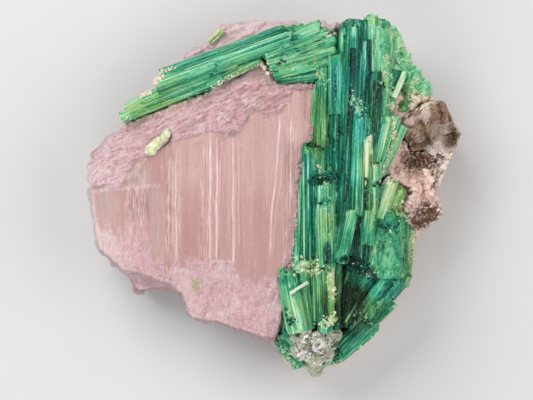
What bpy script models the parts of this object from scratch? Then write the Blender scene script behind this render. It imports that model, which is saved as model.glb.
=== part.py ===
"""Green tourmaline and smoky quartz grown on a slab of pink kunzite.

The specimen lies on its broken back with its crystals facing up. Lengths here are millimetres in the
specimen's own frame, and become metres when an object is made: X runs to the right across the face,
Y up the face and Z out of it. The origin lies under the middle of the specimen, on the surface that
carries it.

One rough slab is modelled first. Each mineral is then the share of that slab inside the mineral's own
outline, and the tourmaline and albite also have their crystals joined to that share.
"""

import math

import bmesh
import bpy
from mathutils import Matrix, Quaternion, Vector, noise

MM = 0.001
CLEARANCE = 0.3
SKY = 60.0

# The middle of the specimen in its own frame, which goes to the origin
CENTRE = (-0.04, -0.13)

# Driving heights of the specimen
FACE_Z = 26.0
LEDGE_Z = 15.0
GRID = 3.8

# The floor of each seat cut in the kunzite and albite
BAND_FLOOR = 12.6
COLUMN_FLOOR = 12.0
FAN_FLOOR = 11.4
TUFT_FLOOR = 13.2
QUARTZ_FLOOR = 10.8
CHIP_FLOOR = 23.4
EDGE_CHIP_FLOOR = 17.8

# How far neighbouring seats run into each other, so that no thin wall is left between them
SEAT_OVERLAP = 0.03

# How much a cluster is cut back all round once its crystals are joined
TRIM = 0.1

# Points closer than this are one point, and faces that turn less than this are one face
WELD = 0.01
FLAT = math.radians(2.0)

# The slab seen from the front, clockwise from its left corner
SLAB = [
    (-47.1, 7.6), (-45.2, 9.5), (-44.2, 11.4), (-42.0, 14.9), (-38.2, 16.6), (-36.9, 19.6),
    (-31.6, 24.2), (-27.6, 28.3), (-22.9, 33.6), (-21.7, 36.1), (-20.2, 37.1), (-17.5, 38.0),
    (-15.6, 39.9), (-13.0, 42.6), (-8.4, 43.9), (-3.7, 44.4), (0.0, 43.8), (6.5, 43.1),
    (12.4, 43.8), (14.1, 42.8), (16.1, 43.9), (21.0, 43.4), (27.5, 40.6), (29.6, 34.4),
    (33.4, 29.4), (38.6, 25.0), (43.0, 21.6), (44.9, 16.0), (42.6, 9.4), (39.6, 2.6),
    (40.7, -0.1), (41.7, -3.5), (40.5, -5.6), (38.2, -7.3), (35.4, -8.6), (34.2, -13.4),
    (34.4, -20.9), (32.3, -22.8), (29.6, -28.4), (24.9, -35.2), (21.6, -38.8), (16.8, -42.3),
    (12.6, -43.0), (8.7, -43.1), (4.0, -42.0), (1.4, -39.4), (0.9, -36.1), (-2.6, -35.6),
    (-6.0, -34.3), (-9.5, -33.3), (-14.9, -31.2), (-16.7, -31.5), (-20.6, -30.5), (-21.6, -29.5),
    (-22.1, -26.5), (-22.9, -24.6), (-24.8, -23.6), (-30.6, -23.4), (-33.2, -23.7), (-35.3, -24.3),
    (-37.2, -19.0), (-40.1, -16.5), (-43.9, -13.1), (-44.7, -9.3), (-45.5, -4.3), (-45.9, -0.4),
]

# How far up the local height each ring of the slab's edge lies, and how much it is drawn in
EDGE_RINGS = [(0.0, 0.92), (0.2, 0.975), (0.5, 1.0), (0.78, 1.0), (1.0, 0.99)]

# The line where the smooth cleavage face turns over into the flaky slope above it
RIDGE = [(-48.0, 1.5), (-43.0, 1.6), (-34.5, 3.0), (-31.0, 9.5), (-28.5, 12.5), (-20.0, 17.5),
         (-11.5, 20.0), (-1.0, 24.5), (10.7, 27.6), (25.0, 30.0)]
FLAKE_SLOPE = 0.33
FLAKE_DROP = 7.0

# Cleavage steps of the smooth face: the X where each begins, and its height above the face
CLEAVAGE = [(-31.0, -1.3), (-25.5, -0.8), (-23.4, -0.2), (-16.3, -1.0), (-10.2, 0.0), (0.8, 0.5),
            (3.6, 0.0), (60.0, -0.5)]

# The lower ledge that shows past the bottom left edge of the face
LEDGE = [(-44.0, -20.4), (-37.3, -18.2), (-32.2, -19.5), (-28.2, -21.4), (-24.4, -21.9),
         (-22.6, -24.9), (-24.0, -28.0), (-40.0, -28.0)]

# Places where each mineral meets its neighbours, shared by the outlines below
BAND_SPLIT = [(10.8, 27.6), (15.0, 36.6), (16.0, 42.6)]
FAN_SPLIT = [(35.9, -8.9), (32.5, -6.7), (29.6, -4.2), (23.0, -3.9), (22.0, -13.4), (16.0, -15.4),
             (15.0, -29.9)]
PINK_EDGE = [(2.0, -30.4), (2.5, -25.9), (1.3, -19.7), (4.2, -16.4), (6.0, -9.6), (6.4, 4.1),
             (7.5, 11.6), (9.5, 16.6)]
TUFT_TOP = [(4.0, -31.9), (11.0, -33.4)]
TUFT_FOOT = [(3.4, -38.2), (7.0, -41.2), (7.8, -46.5)]
GRANULE_EDGE = [(29.6, -4.2), (30.6, -2.6), (34.2, -1.0), (35.0, 1.7), (32.4, 3.2), (29.6, 4.1),
                (27.6, 7.1), (30.1, 11.2), (32.3, 14.6), (31.5, 19.1)]
QUARTZ_TOP = [(33.6, 22.2), (36.6, 24.2), (40.8, 24.7)]

BAND_SEAT = [(-42.5, 17.0), (-37.5, 18.3), (-34.7, 19.7), (-27.7, 21.9), (-17.2, 26.1), (-13.0, 28.1),
             (-8.5, 30.1), (-3.0, 33.6), (-1.5, 31.6), (1.0, 28.4), *BAND_SPLIT, (13.4, 40.4),
             (12.0, 42.6), (6.5, 42.1), (2.0, 42.1), (-7.2, 38.6), (-18.5, 34.9), (-24.0, 32.4),
             (-28.5, 30.6), (-31.0, 28.1), (-42.5, 21.1)]
COLUMN_SEAT = [*reversed(BAND_SPLIT), *reversed(PINK_EDGE), (0.5, -36.0), (-1.0, -36.3),
               (-2.0, -46.5), *reversed(TUFT_FOOT), *TUFT_TOP, *reversed(FAN_SPLIT[2:]),
               *GRANULE_EDGE[1:], *QUARTZ_TOP, (45.0, 30.0), (34.0, 48.0), (16.0, 48.0)]
FAN_SEAT = [*FAN_SPLIT, (17.5, -33.9), (15.5, -38.9), (13.5, -42.9), (12.6, -46.5), (30.0, -46.5),
            (46.0, -11.0)]
TUFT_SEAT = [*TUFT_TOP, (15.0, -29.9), (17.5, -33.9), (15.5, -38.9), (13.5, -42.9), (12.6, -46.5),
             *reversed(TUFT_FOOT)]
QUARTZ_SEAT = [(31.5, 19.1), *QUARTZ_TOP, (50.0, 24.7), (50.0, 2.0), (40.2, 1.6), (39.3, 6.0),
               (40.4, 9.2), (37.4, 11.4), (34.4, 11.0), (32.3, 14.6)]
CHIP_SEAT = [(-31.8, 11.1), (-30.5, 13.4), (-28.5, 14.1), (-26.8, 15.9), (-25.4, 15.7),
             (-26.0, 13.9), (-27.7, 12.4), (-29.7, 10.6)]
EDGE_CHIP_SEAT = [(-18.2, 38.2), (-12.8, 43.6), (-11.0, 42.0), (-15.6, 37.0)]

# The buried wall between the kunzite on the left and the albite on the right
BURIED_WALL = [(21.0, 48.0), (20.0, 12.0), (17.8, -11.0), (12.8, -28.4), (4.0, -38.6), (0.6, -48.0)]

# The lowest point of each crystal's axis, its highest, the radius and how it ends
COLUMN_CRYSTALS = [
    ((17.0, -8.4, 26.5), (19.6, 43.0, 28.0), 3.6, "domed"),
    ((20.8, 0.0, 28.6), (22.6, 38.5, 28.6), 1.6, "flat"),
    ((16.0, -0.9, 28.2), (15.6, 34.9, 28.8), 1.9, "flat"),
    ((11.9, 3.2, 26.6), (12.5, 31.6, 26.8), 1.7, "flat"),
    ((10.5, 9.1, 25.4), (11.4, 28.4, 25.8), 1.3, "flat"),
    ((24.5, 11.6, 26.5), (24.3, 44.3, 26.2), 2.2, "domed"),
    ((26.0, 14.0, 25.5), (27.2, 43.6, 24.8), 2.3, "domed"),
    ((27.4, 16.6, 24.6), (29.2, 42.0, 23.4), 1.8, "flat"),
    ((27.7, 24.0, 22.6), (30.5, 39.5, 22.0), 2.0, "domed"),
    ((28.5, 22.9, 21.6), (31.8, 35.2, 21.0), 2.0, "domed"),
    ((29.5, 21.6, 21.0), (33.6, 32.0, 20.4), 1.8, "domed"),
    ((30.5, 20.8, 20.4), (36.0, 29.4, 19.8), 1.8, "domed"),
    ((32.0, 22.2, 19.8), (38.9, 27.2, 19.2), 1.9, "flat"),
    ((23.5, 1.6, 28.0), (25.5, 30.4, 28.0), 1.6, "flat"),
    ((25.0, 6.6, 26.8), (27.4, 31.6, 26.6), 1.6, "flat"),
    ((28.4, 19.6, 25.0), (32.8, 30.9, 24.6), 0.9, "flat"),
    ((24.5, 4.6, 27.4), (28.0, 19.6, 27.2), 1.8, "flat"),
    ((25.0, 5.1, 26.8), (29.9, 19.4, 26.2), 1.9, "domed"),
    ((25.7, 5.6, 25.4), (31.5, 18.0, 24.6), 1.8, "flat"),
    ((20.5, -4.6, 28.8), (21.2, 21.1, 29.2), 2.5, "broken"),
    ((22.5, -0.9, 29.0), (23.2, 19.1, 29.2), 1.2, "flat"),
    ((6.9, -16.6, 25.8), (7.4, 4.6, 26.2), 1.3, "flat"),
    ((8.7, -17.1, 26.6), (8.6, 12.0, 27.0), 1.9, "broken"),
    ((10.1, -16.4, 26.4), (10.3, 11.6, 26.4), 1.4, "flat"),
    ((13.0, -18.4, 28.0), (12.7, 5.6, 28.6), 2.4, "broken"),
    ((13.2, -16.8, 30.4), (12.5, -1.6, 30.8), 2.3, "domed"),
    ((15.7, -16.4, 29.4), (18.0, 0.1, 29.8), 1.1, "domed"),
    ((16.6, -16.4, 29.6), (19.5, -3.4, 30.4), 1.5, "broken"),
    ((19.0, -14.6, 27.0), (21.0, 6.6, 27.6), 2.2, "flat"),
    ((23.7, -4.6, 30.2), (23.7, 14.4, 30.4), 1.2, "domed"),
    ((23.0, -12.0, 28.0), (24.7, 7.9, 28.8), 2.0, "broken"),
    ((26.0, -5.4, 26.6), (29.2, 3.6, 26.4), 1.9, "flat"),
    ((27.5, -5.0, 24.8), (31.6, 1.6, 24.2), 1.5, "domed"),
    ((6.5, -33.6, 23.8), (3.6, -19.1, 24.6), 2.8, "broken"),
    ((8.6, -33.0, 23.6), (7.2, -20.9, 25.0), 1.7, "flat"),
    ((12.7, -33.6, 27.4), (12.0, -10.4, 28.6), 1.9, "flat"),
    ((14.0, -31.4, 28.2), (14.0, -16.4, 29.0), 1.0, "flat"),
    ((4.2, -23.8, 27.6), (8.6, -21.2, 27.8), 1.0, "domed"),
    ((7.0, -42.0, 16.0), (2.2, -36.4, 18.4), 2.3, "broken"),
    ((7.0, -38.6, 18.6), (2.4, -34.0, 20.4), 2.0, "flat"),
]
FAN_CRYSTALS = [
    ((28.5, -19.6, 22.4), (28.6, -4.9, 23.4), 4.8, "broken"),
    ((31.3, -20.9, 18.6), (33.4, -8.2, 19.2), 2.7, "domed"),
    ((24.8, -18.4, 25.0), (25.8, -5.6, 25.2), 2.4, "flat"),
    ((22.0, -30.4, 22.6), (29.8, -20.0, 24.2), 3.2, "broken"),
    ((19.5, -33.4, 20.6), (31.2, -21.6, 21.0), 2.3, "flat"),
    ((17.7, -37.1, 17.4), (29.3, -26.2, 17.6), 2.5, "flat"),
    ((15.6, -40.0, 16.6), (25.0, -32.3, 16.4), 2.5, "domed"),
    ((16.2, -37.4, 20.4), (22.4, -31.2, 21.2), 2.2, "broken"),
    ((16.6, -31.2, 19.2), (17.9, -18.4, 20.4), 1.4, "flat"),
    ((18.0, -31.4, 19.2), (19.6, -18.9, 20.4), 1.5, "flat"),
    ((19.6, -30.8, 19.6), (21.7, -20.4, 20.6), 1.5, "flat"),
    ((18.6, -21.6, 22.6), (21.4, -14.6, 24.4), 3.0, "broken"),
    ((17.8, -31.2, 23.6), (21.2, -25.6, 24.4), 0.7, "flat"),
]
BAND_CRYSTALS = [
    ((-28.2, 30.2, 24.6), (2.2, 41.2, 25.6), 1.6, "flat"),
    ((-29.2, 27.2, 25.2), (-12.6, 33.4, 26.0), 1.8, "flat"),
    ((-38.2, 19.8, 22.6), (-13.4, 29.2, 25.6), 1.8, "domed"),
    ((-36.6, 22.0, 22.0), (-27.4, 26.2, 23.6), 1.5, "broken"),
    ((-14.6, 32.6, 26.2), (6.5, 39.2, 26.4), 2.0, "flat"),
    ((-12.8, 29.9, 24.8), (-3.6, 34.2, 25.6), 1.3, "domed"),
    ((-1.5, 38.7, 25.2), (11.9, 41.6, 25.4), 1.8, "flat"),
    ((1.5, 37.0, 26.4), (14.6, 40.1, 26.2), 1.8, "flat"),
    ((-1.8, 33.8, 26.8), (14.6, 38.2, 27.0), 1.9, "domed"),
    ((-0.9, 31.6, 27.0), (14.8, 35.3, 27.2), 1.8, "domed"),
    ((0.4, 29.9, 26.6), (13.6, 32.6, 26.6), 1.8, "broken"),
    ((3.4, 28.7, 25.6), (12.6, 29.8, 25.6), 1.5, "flat"),
]
CHIP_CRYSTALS = [
    ((-31.0, 11.6, 24.6), (-27.6, 14.0, 25.0), 1.5, "broken"),
    ((-28.6, 12.8, 24.8), (-25.6, 15.4, 25.0), 1.2, "flat"),
]
EDGE_CHIP_CRYSTALS = [
    ((-16.4, 38.6, 19.0), (-12.6, 41.9, 19.4), 1.1, "flat"),
]

# Knobs of the albite tuft: centre and radius
TUFT_KNOBS = [
    ((5.6, -34.6, 20.6), 2.2), ((8.4, -35.8, 22.6), 2.8), ((11.6, -36.4, 23.4), 2.9),
    ((14.4, -34.6, 21.6), 2.6), ((12.8, -32.4, 24.0), 2.0), ((7.0, -38.4, 19.8), 2.5),
    ((10.4, -39.6, 19.6), 2.9), ((13.4, -38.8, 18.8), 2.4), ((10.6, -43.0, 15.6), 2.3),
    ((15.4, -36.6, 19.4), 1.8),
]

# The smooth faces of the quartz: a point on each, and the way it faces
QUARTZ_OUTLINE = [
    (31.9, 18.9), (34.9, 21.8), (37.7, 23.2), (40.8, 24.2), (42.6, 24.1), (45.4, 18.6),
    (47.2, 15.6), (45.9, 12.5), (44.1, 9.0), (41.6, 2.4), (40.3, 1.7), (39.4, 6.0),
    (40.5, 9.4), (37.6, 11.7), (34.5, 11.3), (32.4, 14.6),
]
QUARTZ_FACES = [
    ((41.0, 19.5, 24.6), (0.10, 0.30, 1.0)),
    ((35.5, 17.0, 23.6), (-0.40, 0.18, 1.0)),
    ((44.8, 15.6, 22.4), (0.85, 0.20, 0.8)),
    ((39.6, 11.4, 23.0), (-0.10, -0.42, 1.0)),
    ((43.2, 7.4, 19.6), (0.45, -0.25, 1.0)),
    ((38.8, 23.0, 22.6), (-0.1, 0.9, 0.7)),
]

# Colour and roughness of each mineral
MINERALS = {
    "kunzite": ((0.66, 0.42, 0.43), 0.35),
    "albite": ((0.70, 0.56, 0.47), 0.70),
    "quartz": ((0.23, 0.17, 0.13), 0.12),
    "tuft": ((0.62, 0.62, 0.52), 0.70),
    "tourmaline": ((0.03, 0.32, 0.17), 0.20),
    "pale_tourmaline": ((0.42, 0.66, 0.36), 0.35),
}


def clear_scene():
    for obj in list(bpy.data.objects):
        bpy.data.objects.remove(obj)


def new_collection(name):
    made = bpy.data.collections.new(name)
    bpy.context.scene.collection.children.link(made)
    return made


def mineral_material(name):
    colour, roughness = MINERALS[name]
    material = bpy.data.materials.new(name)
    material.use_nodes = True
    shader = material.node_tree.nodes["Principled BSDF"]
    shader.inputs["Base Color"].default_value = (*colour, 1.0)
    shader.inputs["Roughness"].default_value = roughness
    shader.inputs["Metallic"].default_value = 0.0
    return material


def make_object(name, shape, collection):
    """A centred object in metres from a bmesh in millimetres, which it uses up."""
    bmesh.ops.translate(shape, verts=shape.verts, vec=(-CENTRE[0], -CENTRE[1], 0.0))
    bmesh.ops.transform(shape, matrix=Matrix.Scale(MM, 4), verts=shape.verts)
    mesh = bpy.data.meshes.new(name)
    shape.to_mesh(mesh)
    shape.free()
    obj = bpy.data.objects.new(name, mesh)
    collection.objects.link(obj)
    return obj


def combine(obj, other, operation):
    """Joins other to obj, cuts obj by it or keeps what they share, and then removes other."""
    modifier = obj.modifiers.new(operation, "BOOLEAN")
    modifier.operation = operation
    modifier.object = other
    graph = bpy.context.evaluated_depsgraph_get()
    mesh = bpy.data.meshes.new_from_object(obj.evaluated_get(graph))
    obj.modifiers.clear()
    obj.data = mesh
    bpy.data.objects.remove(other)


def anticlockwise(outline):
    pairs = zip(outline, outline[1:] + outline[:1])
    area = sum(ax * by - bx * ay for (ax, ay), (bx, by) in pairs)
    return outline if area > 0 else outline[::-1]


def drawn_in(outline, distance):
    """The outline with each of its sides moved inwards by a distance."""
    corners = [Vector(corner) for corner in anticlockwise(outline)]
    moved = []
    for index, corner in enumerate(corners):
        before = (corner - corners[index - 1]).normalized()
        after = (corners[(index + 1) % len(corners)] - corner).normalized()
        inward = Vector((-before.y, before.x)) + Vector((-after.y, after.x))
        moved.append(tuple(corner + inward * distance / max(0.4, 1.0 + before.dot(after))))
    return moved


def inside(x, y, outline):
    crossings = 0
    for (ax, ay), (bx, by) in zip(outline, outline[1:] + outline[:1]):
        if (ay > y) != (by > y) and x < ax + (bx - ax) * (y - ay) / (by - ay):
            crossings += 1
    return crossings % 2 == 1


def prism(outline, low, high):
    """A straight-sided block over an outline."""
    shape = bmesh.new()
    corners = [shape.verts.new((x, y, low)) for x, y in anticlockwise(outline)]
    floor = shape.faces.new(corners)
    top = bmesh.ops.extrude_face_region(shape, geom=[floor])["geom"]
    lifted = [item for item in top if isinstance(item, bmesh.types.BMVert)]
    bmesh.ops.translate(shape, verts=lifted, vec=(0.0, 0.0, high - low))
    bmesh.ops.recalc_face_normals(shape, faces=shape.faces)
    return shape


def slice_at(shape, point, normal):
    geometry = shape.verts[:] + shape.edges[:] + shape.faces[:]
    bmesh.ops.bisect_plane(shape, geom=geometry, dist=1e-4, plane_co=point, plane_no=normal)


def along(line, x):
    """The Y of a line of points at X."""
    for (ax, ay), (bx, by) in zip(line, line[1:]):
        if x <= bx:
            return ay + (by - ay) * (x - ax) / (bx - ax)
    return line[-1][1]


def bumps(x, y, z, size, height):
    """Soft uneven relief with lumps of a given size and height."""
    return height * noise.fractal(Vector((x, y, z)) / size, 0.9, 2.1, 3)


def kunzite_height(x, y):
    height = FACE_Z
    rise = y - along(RIDGE, x)
    if rise > 0:
        height -= min(FLAKE_DROP, FLAKE_SLOPE * rise) - bumps(x, y, 0.0, 5.0, 0.7)
    else:
        height += next(step for end, step in CLEAVAGE if x < end)
    height -= 0.16 * max(0.0, -14.0 - y) + 0.35 * max(0.0, -41.0 - x)
    return height + bumps(x, y, 9.0, 7.0, 0.25)


def column_height(x, y):
    return 22.4 - 0.42 * max(0.0, x - 24.0) - 0.6 * max(0.0, -33.0 - y)


def fan_height(x, y):
    return 18.6 - 0.28 * max(0.0, x - 23.0) - 0.12 * max(0.0, -30.0 - y)


def band_height(x, y):
    return 21.6 - 0.12 * max(0.0, -16.0 - x)


def tuft_height(x, y):
    return 18.4 - 0.7 * max(0.0, -40.0 - y)


def albite_height(x, y):
    return 18.2 + 1.6 * math.exp(-((x - 36.0) ** 2 + (y + 3.0) ** 2) / 20.0)


SURFACES = [
    (BAND_SEAT, band_height), (COLUMN_SEAT, column_height), (FAN_SEAT, fan_height),
    (TUFT_SEAT, tuft_height),
]


def surface_height(x, y):
    """Height of the slab's face, before the crystals that stand on it."""
    for outline, height in SURFACES:
        if inside(x, y, outline):
            return height(x, y) + bumps(x, y, 3.0, 4.0, 0.6)
    if x > 25.0:
        return albite_height(x, y) + bumps(x, y, 5.0, 3.0, 1.1)
    return kunzite_height(x, y)


def ring_share(level):
    """How much the slab's edge is drawn in at a share of its height."""
    for (low, start), (high, end) in zip(EDGE_RINGS, EDGE_RINGS[1:]):
        if level <= high:
            return start + (end - start) * (level - low) / (high - low)
    return EDGE_RINGS[-1][1]


def grid_lines(low, high):
    count = int((high - low) / GRID)
    return [low + GRID * (index + 0.5) for index in range(count)]


def rough_slab():
    """The whole slab: flat underneath, a worn edge all round, and the relief of the face on top."""
    shape = prism(SLAB, 0.0, 1.0)
    for level, _ in EDGE_RINGS[1:-1]:
        slice_at(shape, (0.0, 0.0, level), (0.0, 0.0, 1.0))
    for x in grid_lines(-47.0, 45.0):
        slice_at(shape, (x, 0.0, 0.0), (1.0, 0.0, 0.0))
    for end, _ in CLEAVAGE[:-1]:
        slice_at(shape, (end - 0.2, 0.0, 0.0), (1.0, 0.0, 0.0))
        slice_at(shape, (end + 0.2, 0.0, 0.0), (1.0, 0.0, 0.0))
    for y in grid_lines(-44.0, 45.0):
        slice_at(shape, (0.0, y, 0.0), (0.0, 1.0, 0.0))
    sheet = [face for face in shape.faces if all(vert.co.z < 0.01 for vert in face.verts)]
    seams = {edge for face in sheet for edge in face.edges if all(f in sheet for f in edge.link_faces)}
    bmesh.ops.dissolve_edges(shape, edges=list(seams), use_verts=False)
    loose = [vert for vert in shape.verts if not vert.link_faces]
    bmesh.ops.delete(shape, geom=loose, context="VERTS")
    for vert in shape.verts:
        x, y, level = vert.co
        share = ring_share(level)
        if 0.0 < level < 1.0:
            share += bumps(x, y, 14.0 * level, 6.0, 0.012)
        vert.co = (x * share, y * share, level * surface_height(x, y))
    bmesh.ops.triangulate(shape, faces=shape.faces)
    return shape


def crystal(foot, tip, radius, end):
    """A tourmaline prism with a bulging three-sided section, set along its own axis."""
    foot, tip = Vector(foot), Vector(tip)
    axis = tip - foot
    sides = 7 if radius > 1.7 else 6
    shape = bmesh.new()
    bmesh.ops.create_cone(
        shape, cap_ends=True, segments=sides, radius1=radius, radius2=radius * 0.96, depth=axis.length
    )
    for vert in shape.verts:
        bulge = 1.0 + 0.09 * math.cos(3.0 * math.atan2(vert.co.y, vert.co.x))
        vert.co.xy *= bulge
    top = max(shape.faces, key=lambda face: face.calc_center_median().z)
    if end == "domed":
        bmesh.ops.inset_region(shape, faces=[top], thickness=radius * 0.4)
        bmesh.ops.translate(shape, verts=top.verts, vec=(0.0, 0.0, radius * 0.35))
    if end == "broken":
        lean = noise.noise(foot)
        for vert in top.verts:
            vert.co.z += 0.5 * vert.co.x * lean + 0.35 * radius * noise.noise(vert.co * 0.8 + foot)
    bmesh.ops.triangulate(shape, faces=shape.faces)
    turn = axis.to_track_quat("Z", "Y") @ Quaternion((0.0, 0.0, 1.0), 2.0 * noise.noise(tip * 0.7))
    place = Matrix.Translation((foot + tip) / 2) @ turn.to_matrix().to_4x4()
    bmesh.ops.transform(shape, matrix=place, verts=shape.verts)
    return shape


def knob(centre, radius):
    """A rough lump of albite."""
    shape = bmesh.new()
    bmesh.ops.create_uvsphere(shape, u_segments=9, v_segments=6, radius=radius)
    for vert in shape.verts:
        vert.co *= 1.0 + 0.35 * noise.noise(vert.co * 0.9 + Vector(centre))
    bmesh.ops.triangulate(shape, faces=shape.faces)
    bmesh.ops.translate(shape, verts=shape.verts, vec=centre)
    return shape


def quartz_block():
    """A block of quartz over its outline, cut by its smooth faces."""
    shape = prism(QUARTZ_OUTLINE, QUARTZ_FLOOR + CLEARANCE, FACE_Z + 2.0)
    for point, normal in QUARTZ_FACES:
        geometry = shape.verts[:] + shape.edges[:] + shape.faces[:]
        cut = bmesh.ops.bisect_plane(
            shape, geom=geometry, dist=1e-4, plane_co=point, plane_no=normal, clear_outer=True
        )["geom_cut"]
        rim = [item for item in cut if isinstance(item, bmesh.types.BMEdge)]
        bmesh.ops.edgenet_fill(shape, edges=rim)
    bmesh.ops.recalc_face_normals(shape, faces=shape.faces)
    return shape


def share_of_slab(name, outline, low, cutters):
    """The part of the slab inside an outline and above a height."""
    obj = make_object(name, rough_slab(), cutters)
    combine(obj, make_object("share", prism(outline, low, SKY), cutters), "INTERSECT")
    return obj


def cut_seats(obj, seats, cutters):
    """Makes room in a body for the minerals that sit in it."""
    for outline, floor in seats:
        room = prism(drawn_in(outline, -SEAT_OVERLAP), floor, SKY)
        combine(obj, make_object("seat", room, cutters), "DIFFERENCE")


def cluster(name, seat, shapes, low, cutters):
    """Crystals or knobs grown together over their share of the slab, kept inside their own outline."""
    bed = drawn_in(seat, CLEARANCE - TRIM)
    obj = share_of_slab(name, bed, low + CLEARANCE - TRIM, cutters)
    for shape in shapes:
        combine(obj, make_object("grown", shape, cutters), "UNION")
    outline = drawn_in(seat, CLEARANCE)
    combine(obj, make_object("bounds", prism(outline, low + CLEARANCE, SKY), cutters), "INTERSECT")
    return obj


def chip(name, seat, crystals, low, cutters):
    """A loose pair of crystals sunk in the kunzite."""
    shapes = [crystal(*row) for row in crystals]
    obj = make_object(name, shapes[0], cutters)
    for shape in shapes[1:]:
        combine(obj, make_object("grown", shape, cutters), "UNION")
    outline = drawn_in(seat, CLEARANCE)
    combine(obj, make_object("bounds", prism(outline, low + CLEARANCE, SKY), cutters), "INTERSECT")
    return obj


def connected(start):
    """All faces that can be reached over edges from one face."""
    reached, waiting = {start}, [start]
    while waiting:
        face = waiting.pop()
        near = {other for edge in face.edges for other in edge.link_faces} - reached
        reached |= near
        waiting.extend(near)
    return reached


def cleaned(obj):
    """Keeps the largest body, without the crumbs and hollows of the cuts, and merges doubled points."""
    shape = bmesh.new()
    shape.from_mesh(obj.data)
    bmesh.ops.triangulate(shape, faces=shape.faces)
    bmesh.ops.remove_doubles(shape, verts=shape.verts, dist=WELD * MM)
    bmesh.ops.dissolve_degenerate(shape, edges=shape.edges, dist=WELD * MM)
    bmesh.ops.dissolve_limit(shape, angle_limit=FLAT, verts=shape.verts, edges=shape.edges)
    bmesh.ops.triangulate(shape, faces=shape.faces)
    largest, left = set(), set(shape.faces)
    while left:
        body = connected(next(iter(left)))
        left -= body
        largest = max(largest, body, key=len)
    crumbs = [face for face in shape.faces if face not in largest]
    bmesh.ops.delete(shape, geom=crumbs, context="FACES")
    bare = [edge for edge in shape.edges if not edge.link_faces]
    bmesh.ops.delete(shape, geom=bare, context="EDGES")
    shape.to_mesh(obj.data)
    shape.free()


def finish(obj, mineral, parts, cutters):
    cleaned(obj)
    obj.data.materials.clear()
    obj.data.materials.append(mineral_material(mineral))
    cutters.objects.unlink(obj)
    parts.objects.link(obj)


def main():
    clear_scene()
    parts = new_collection("tourmaline_on_kunzite")
    cutters = new_collection("cutters")
    left = [(-60.0, 60.0), *BURIED_WALL, (-60.0, -60.0)]
    right = drawn_in([*BURIED_WALL, (60.0, -60.0), (60.0, 60.0)], CLEARANCE)

    kunzite = share_of_slab("kunzite", left, -1.0, cutters)
    seats = [(COLUMN_SEAT, COLUMN_FLOOR), (BAND_SEAT, BAND_FLOOR), (FAN_SEAT, FAN_FLOOR),
             (TUFT_SEAT, TUFT_FLOOR), (LEDGE, LEDGE_Z), (CHIP_SEAT, CHIP_FLOOR),
             (EDGE_CHIP_SEAT, EDGE_CHIP_FLOOR)]
    cut_seats(kunzite, seats, cutters)
    finish(kunzite, "kunzite", parts, cutters)

    albite = share_of_slab("albite_matrix", right, -1.0, cutters)
    seats = [(COLUMN_SEAT, COLUMN_FLOOR), (FAN_SEAT, FAN_FLOOR), (TUFT_SEAT, TUFT_FLOOR),
             (QUARTZ_SEAT, QUARTZ_FLOOR)]
    cut_seats(albite, seats, cutters)
    finish(albite, "albite", parts, cutters)

    for name, seat, floor, rows in [
        ("tourmaline_column", COLUMN_SEAT, COLUMN_FLOOR, COLUMN_CRYSTALS),
        ("tourmaline_fan", FAN_SEAT, FAN_FLOOR, FAN_CRYSTALS),
        ("tourmaline_band", BAND_SEAT, BAND_FLOOR, BAND_CRYSTALS),
    ]:
        grown = cluster(name, seat, [crystal(*row) for row in rows], floor, cutters)
        finish(grown, "tourmaline", parts, cutters)

    tuft = cluster("albite_tuft", TUFT_SEAT, [knob(*row) for row in TUFT_KNOBS], TUFT_FLOOR, cutters)
    finish(tuft, "tuft", parts, cutters)

    quartz = make_object("smoky_quartz", quartz_block(), cutters)
    bounds = prism(drawn_in(QUARTZ_SEAT, CLEARANCE), QUARTZ_FLOOR, SKY)
    combine(quartz, make_object("bounds", bounds, cutters), "INTERSECT")
    finish(quartz, "quartz", parts, cutters)

    piece = chip("tourmaline_chip", CHIP_SEAT, CHIP_CRYSTALS, CHIP_FLOOR, cutters)
    finish(piece, "pale_tourmaline", parts, cutters)
    piece = chip("tourmaline_edge_chip", EDGE_CHIP_SEAT, EDGE_CHIP_CRYSTALS, EDGE_CHIP_FLOOR, cutters)
    finish(piece, "pale_tourmaline", parts, cutters)


main()
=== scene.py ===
"""The looks of a specimen of green tourmaline and smoky quartz grown on a slab of pink kunzite.

Shapes are worked out in millimetres in the specimen's own frame: X runs to the right across the face,
Y up the face and Z out of it. A finished piece is centred and in metres.
"""

import math
import random

import bmesh
import bpy
from mathutils import Matrix, Quaternion, Vector, noise
from mathutils.bvhtree import BVHTree


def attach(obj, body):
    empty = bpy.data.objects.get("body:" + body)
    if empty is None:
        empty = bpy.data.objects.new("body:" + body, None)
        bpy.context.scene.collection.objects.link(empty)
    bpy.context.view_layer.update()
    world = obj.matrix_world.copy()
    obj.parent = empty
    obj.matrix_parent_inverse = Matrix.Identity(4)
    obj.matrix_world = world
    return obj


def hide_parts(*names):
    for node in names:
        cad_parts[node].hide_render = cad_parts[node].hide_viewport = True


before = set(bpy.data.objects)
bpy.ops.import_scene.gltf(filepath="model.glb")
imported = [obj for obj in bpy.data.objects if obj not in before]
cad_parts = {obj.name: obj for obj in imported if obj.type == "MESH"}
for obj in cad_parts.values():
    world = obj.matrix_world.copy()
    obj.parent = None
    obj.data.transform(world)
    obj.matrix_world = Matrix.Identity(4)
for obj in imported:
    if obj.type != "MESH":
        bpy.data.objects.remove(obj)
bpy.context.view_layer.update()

bl_info = {
    "name": "Tourmaline on Kunzite",
    "version": (1, 0, 0),
    "blender": (4, 5, 0),
    "location": "3D View > Sidebar > Specimen",
    "description": "Models a slab of kunzite with tourmaline, smoky quartz and albite grown on it",
    "category": "Object",
}

MM = 0.001
CENTRE = Vector((-0.04, -0.13, 0.0))
SEED = 41
SKY = 60.0
DOWN = Vector((0.0, 0.0, -1.0))

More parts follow.
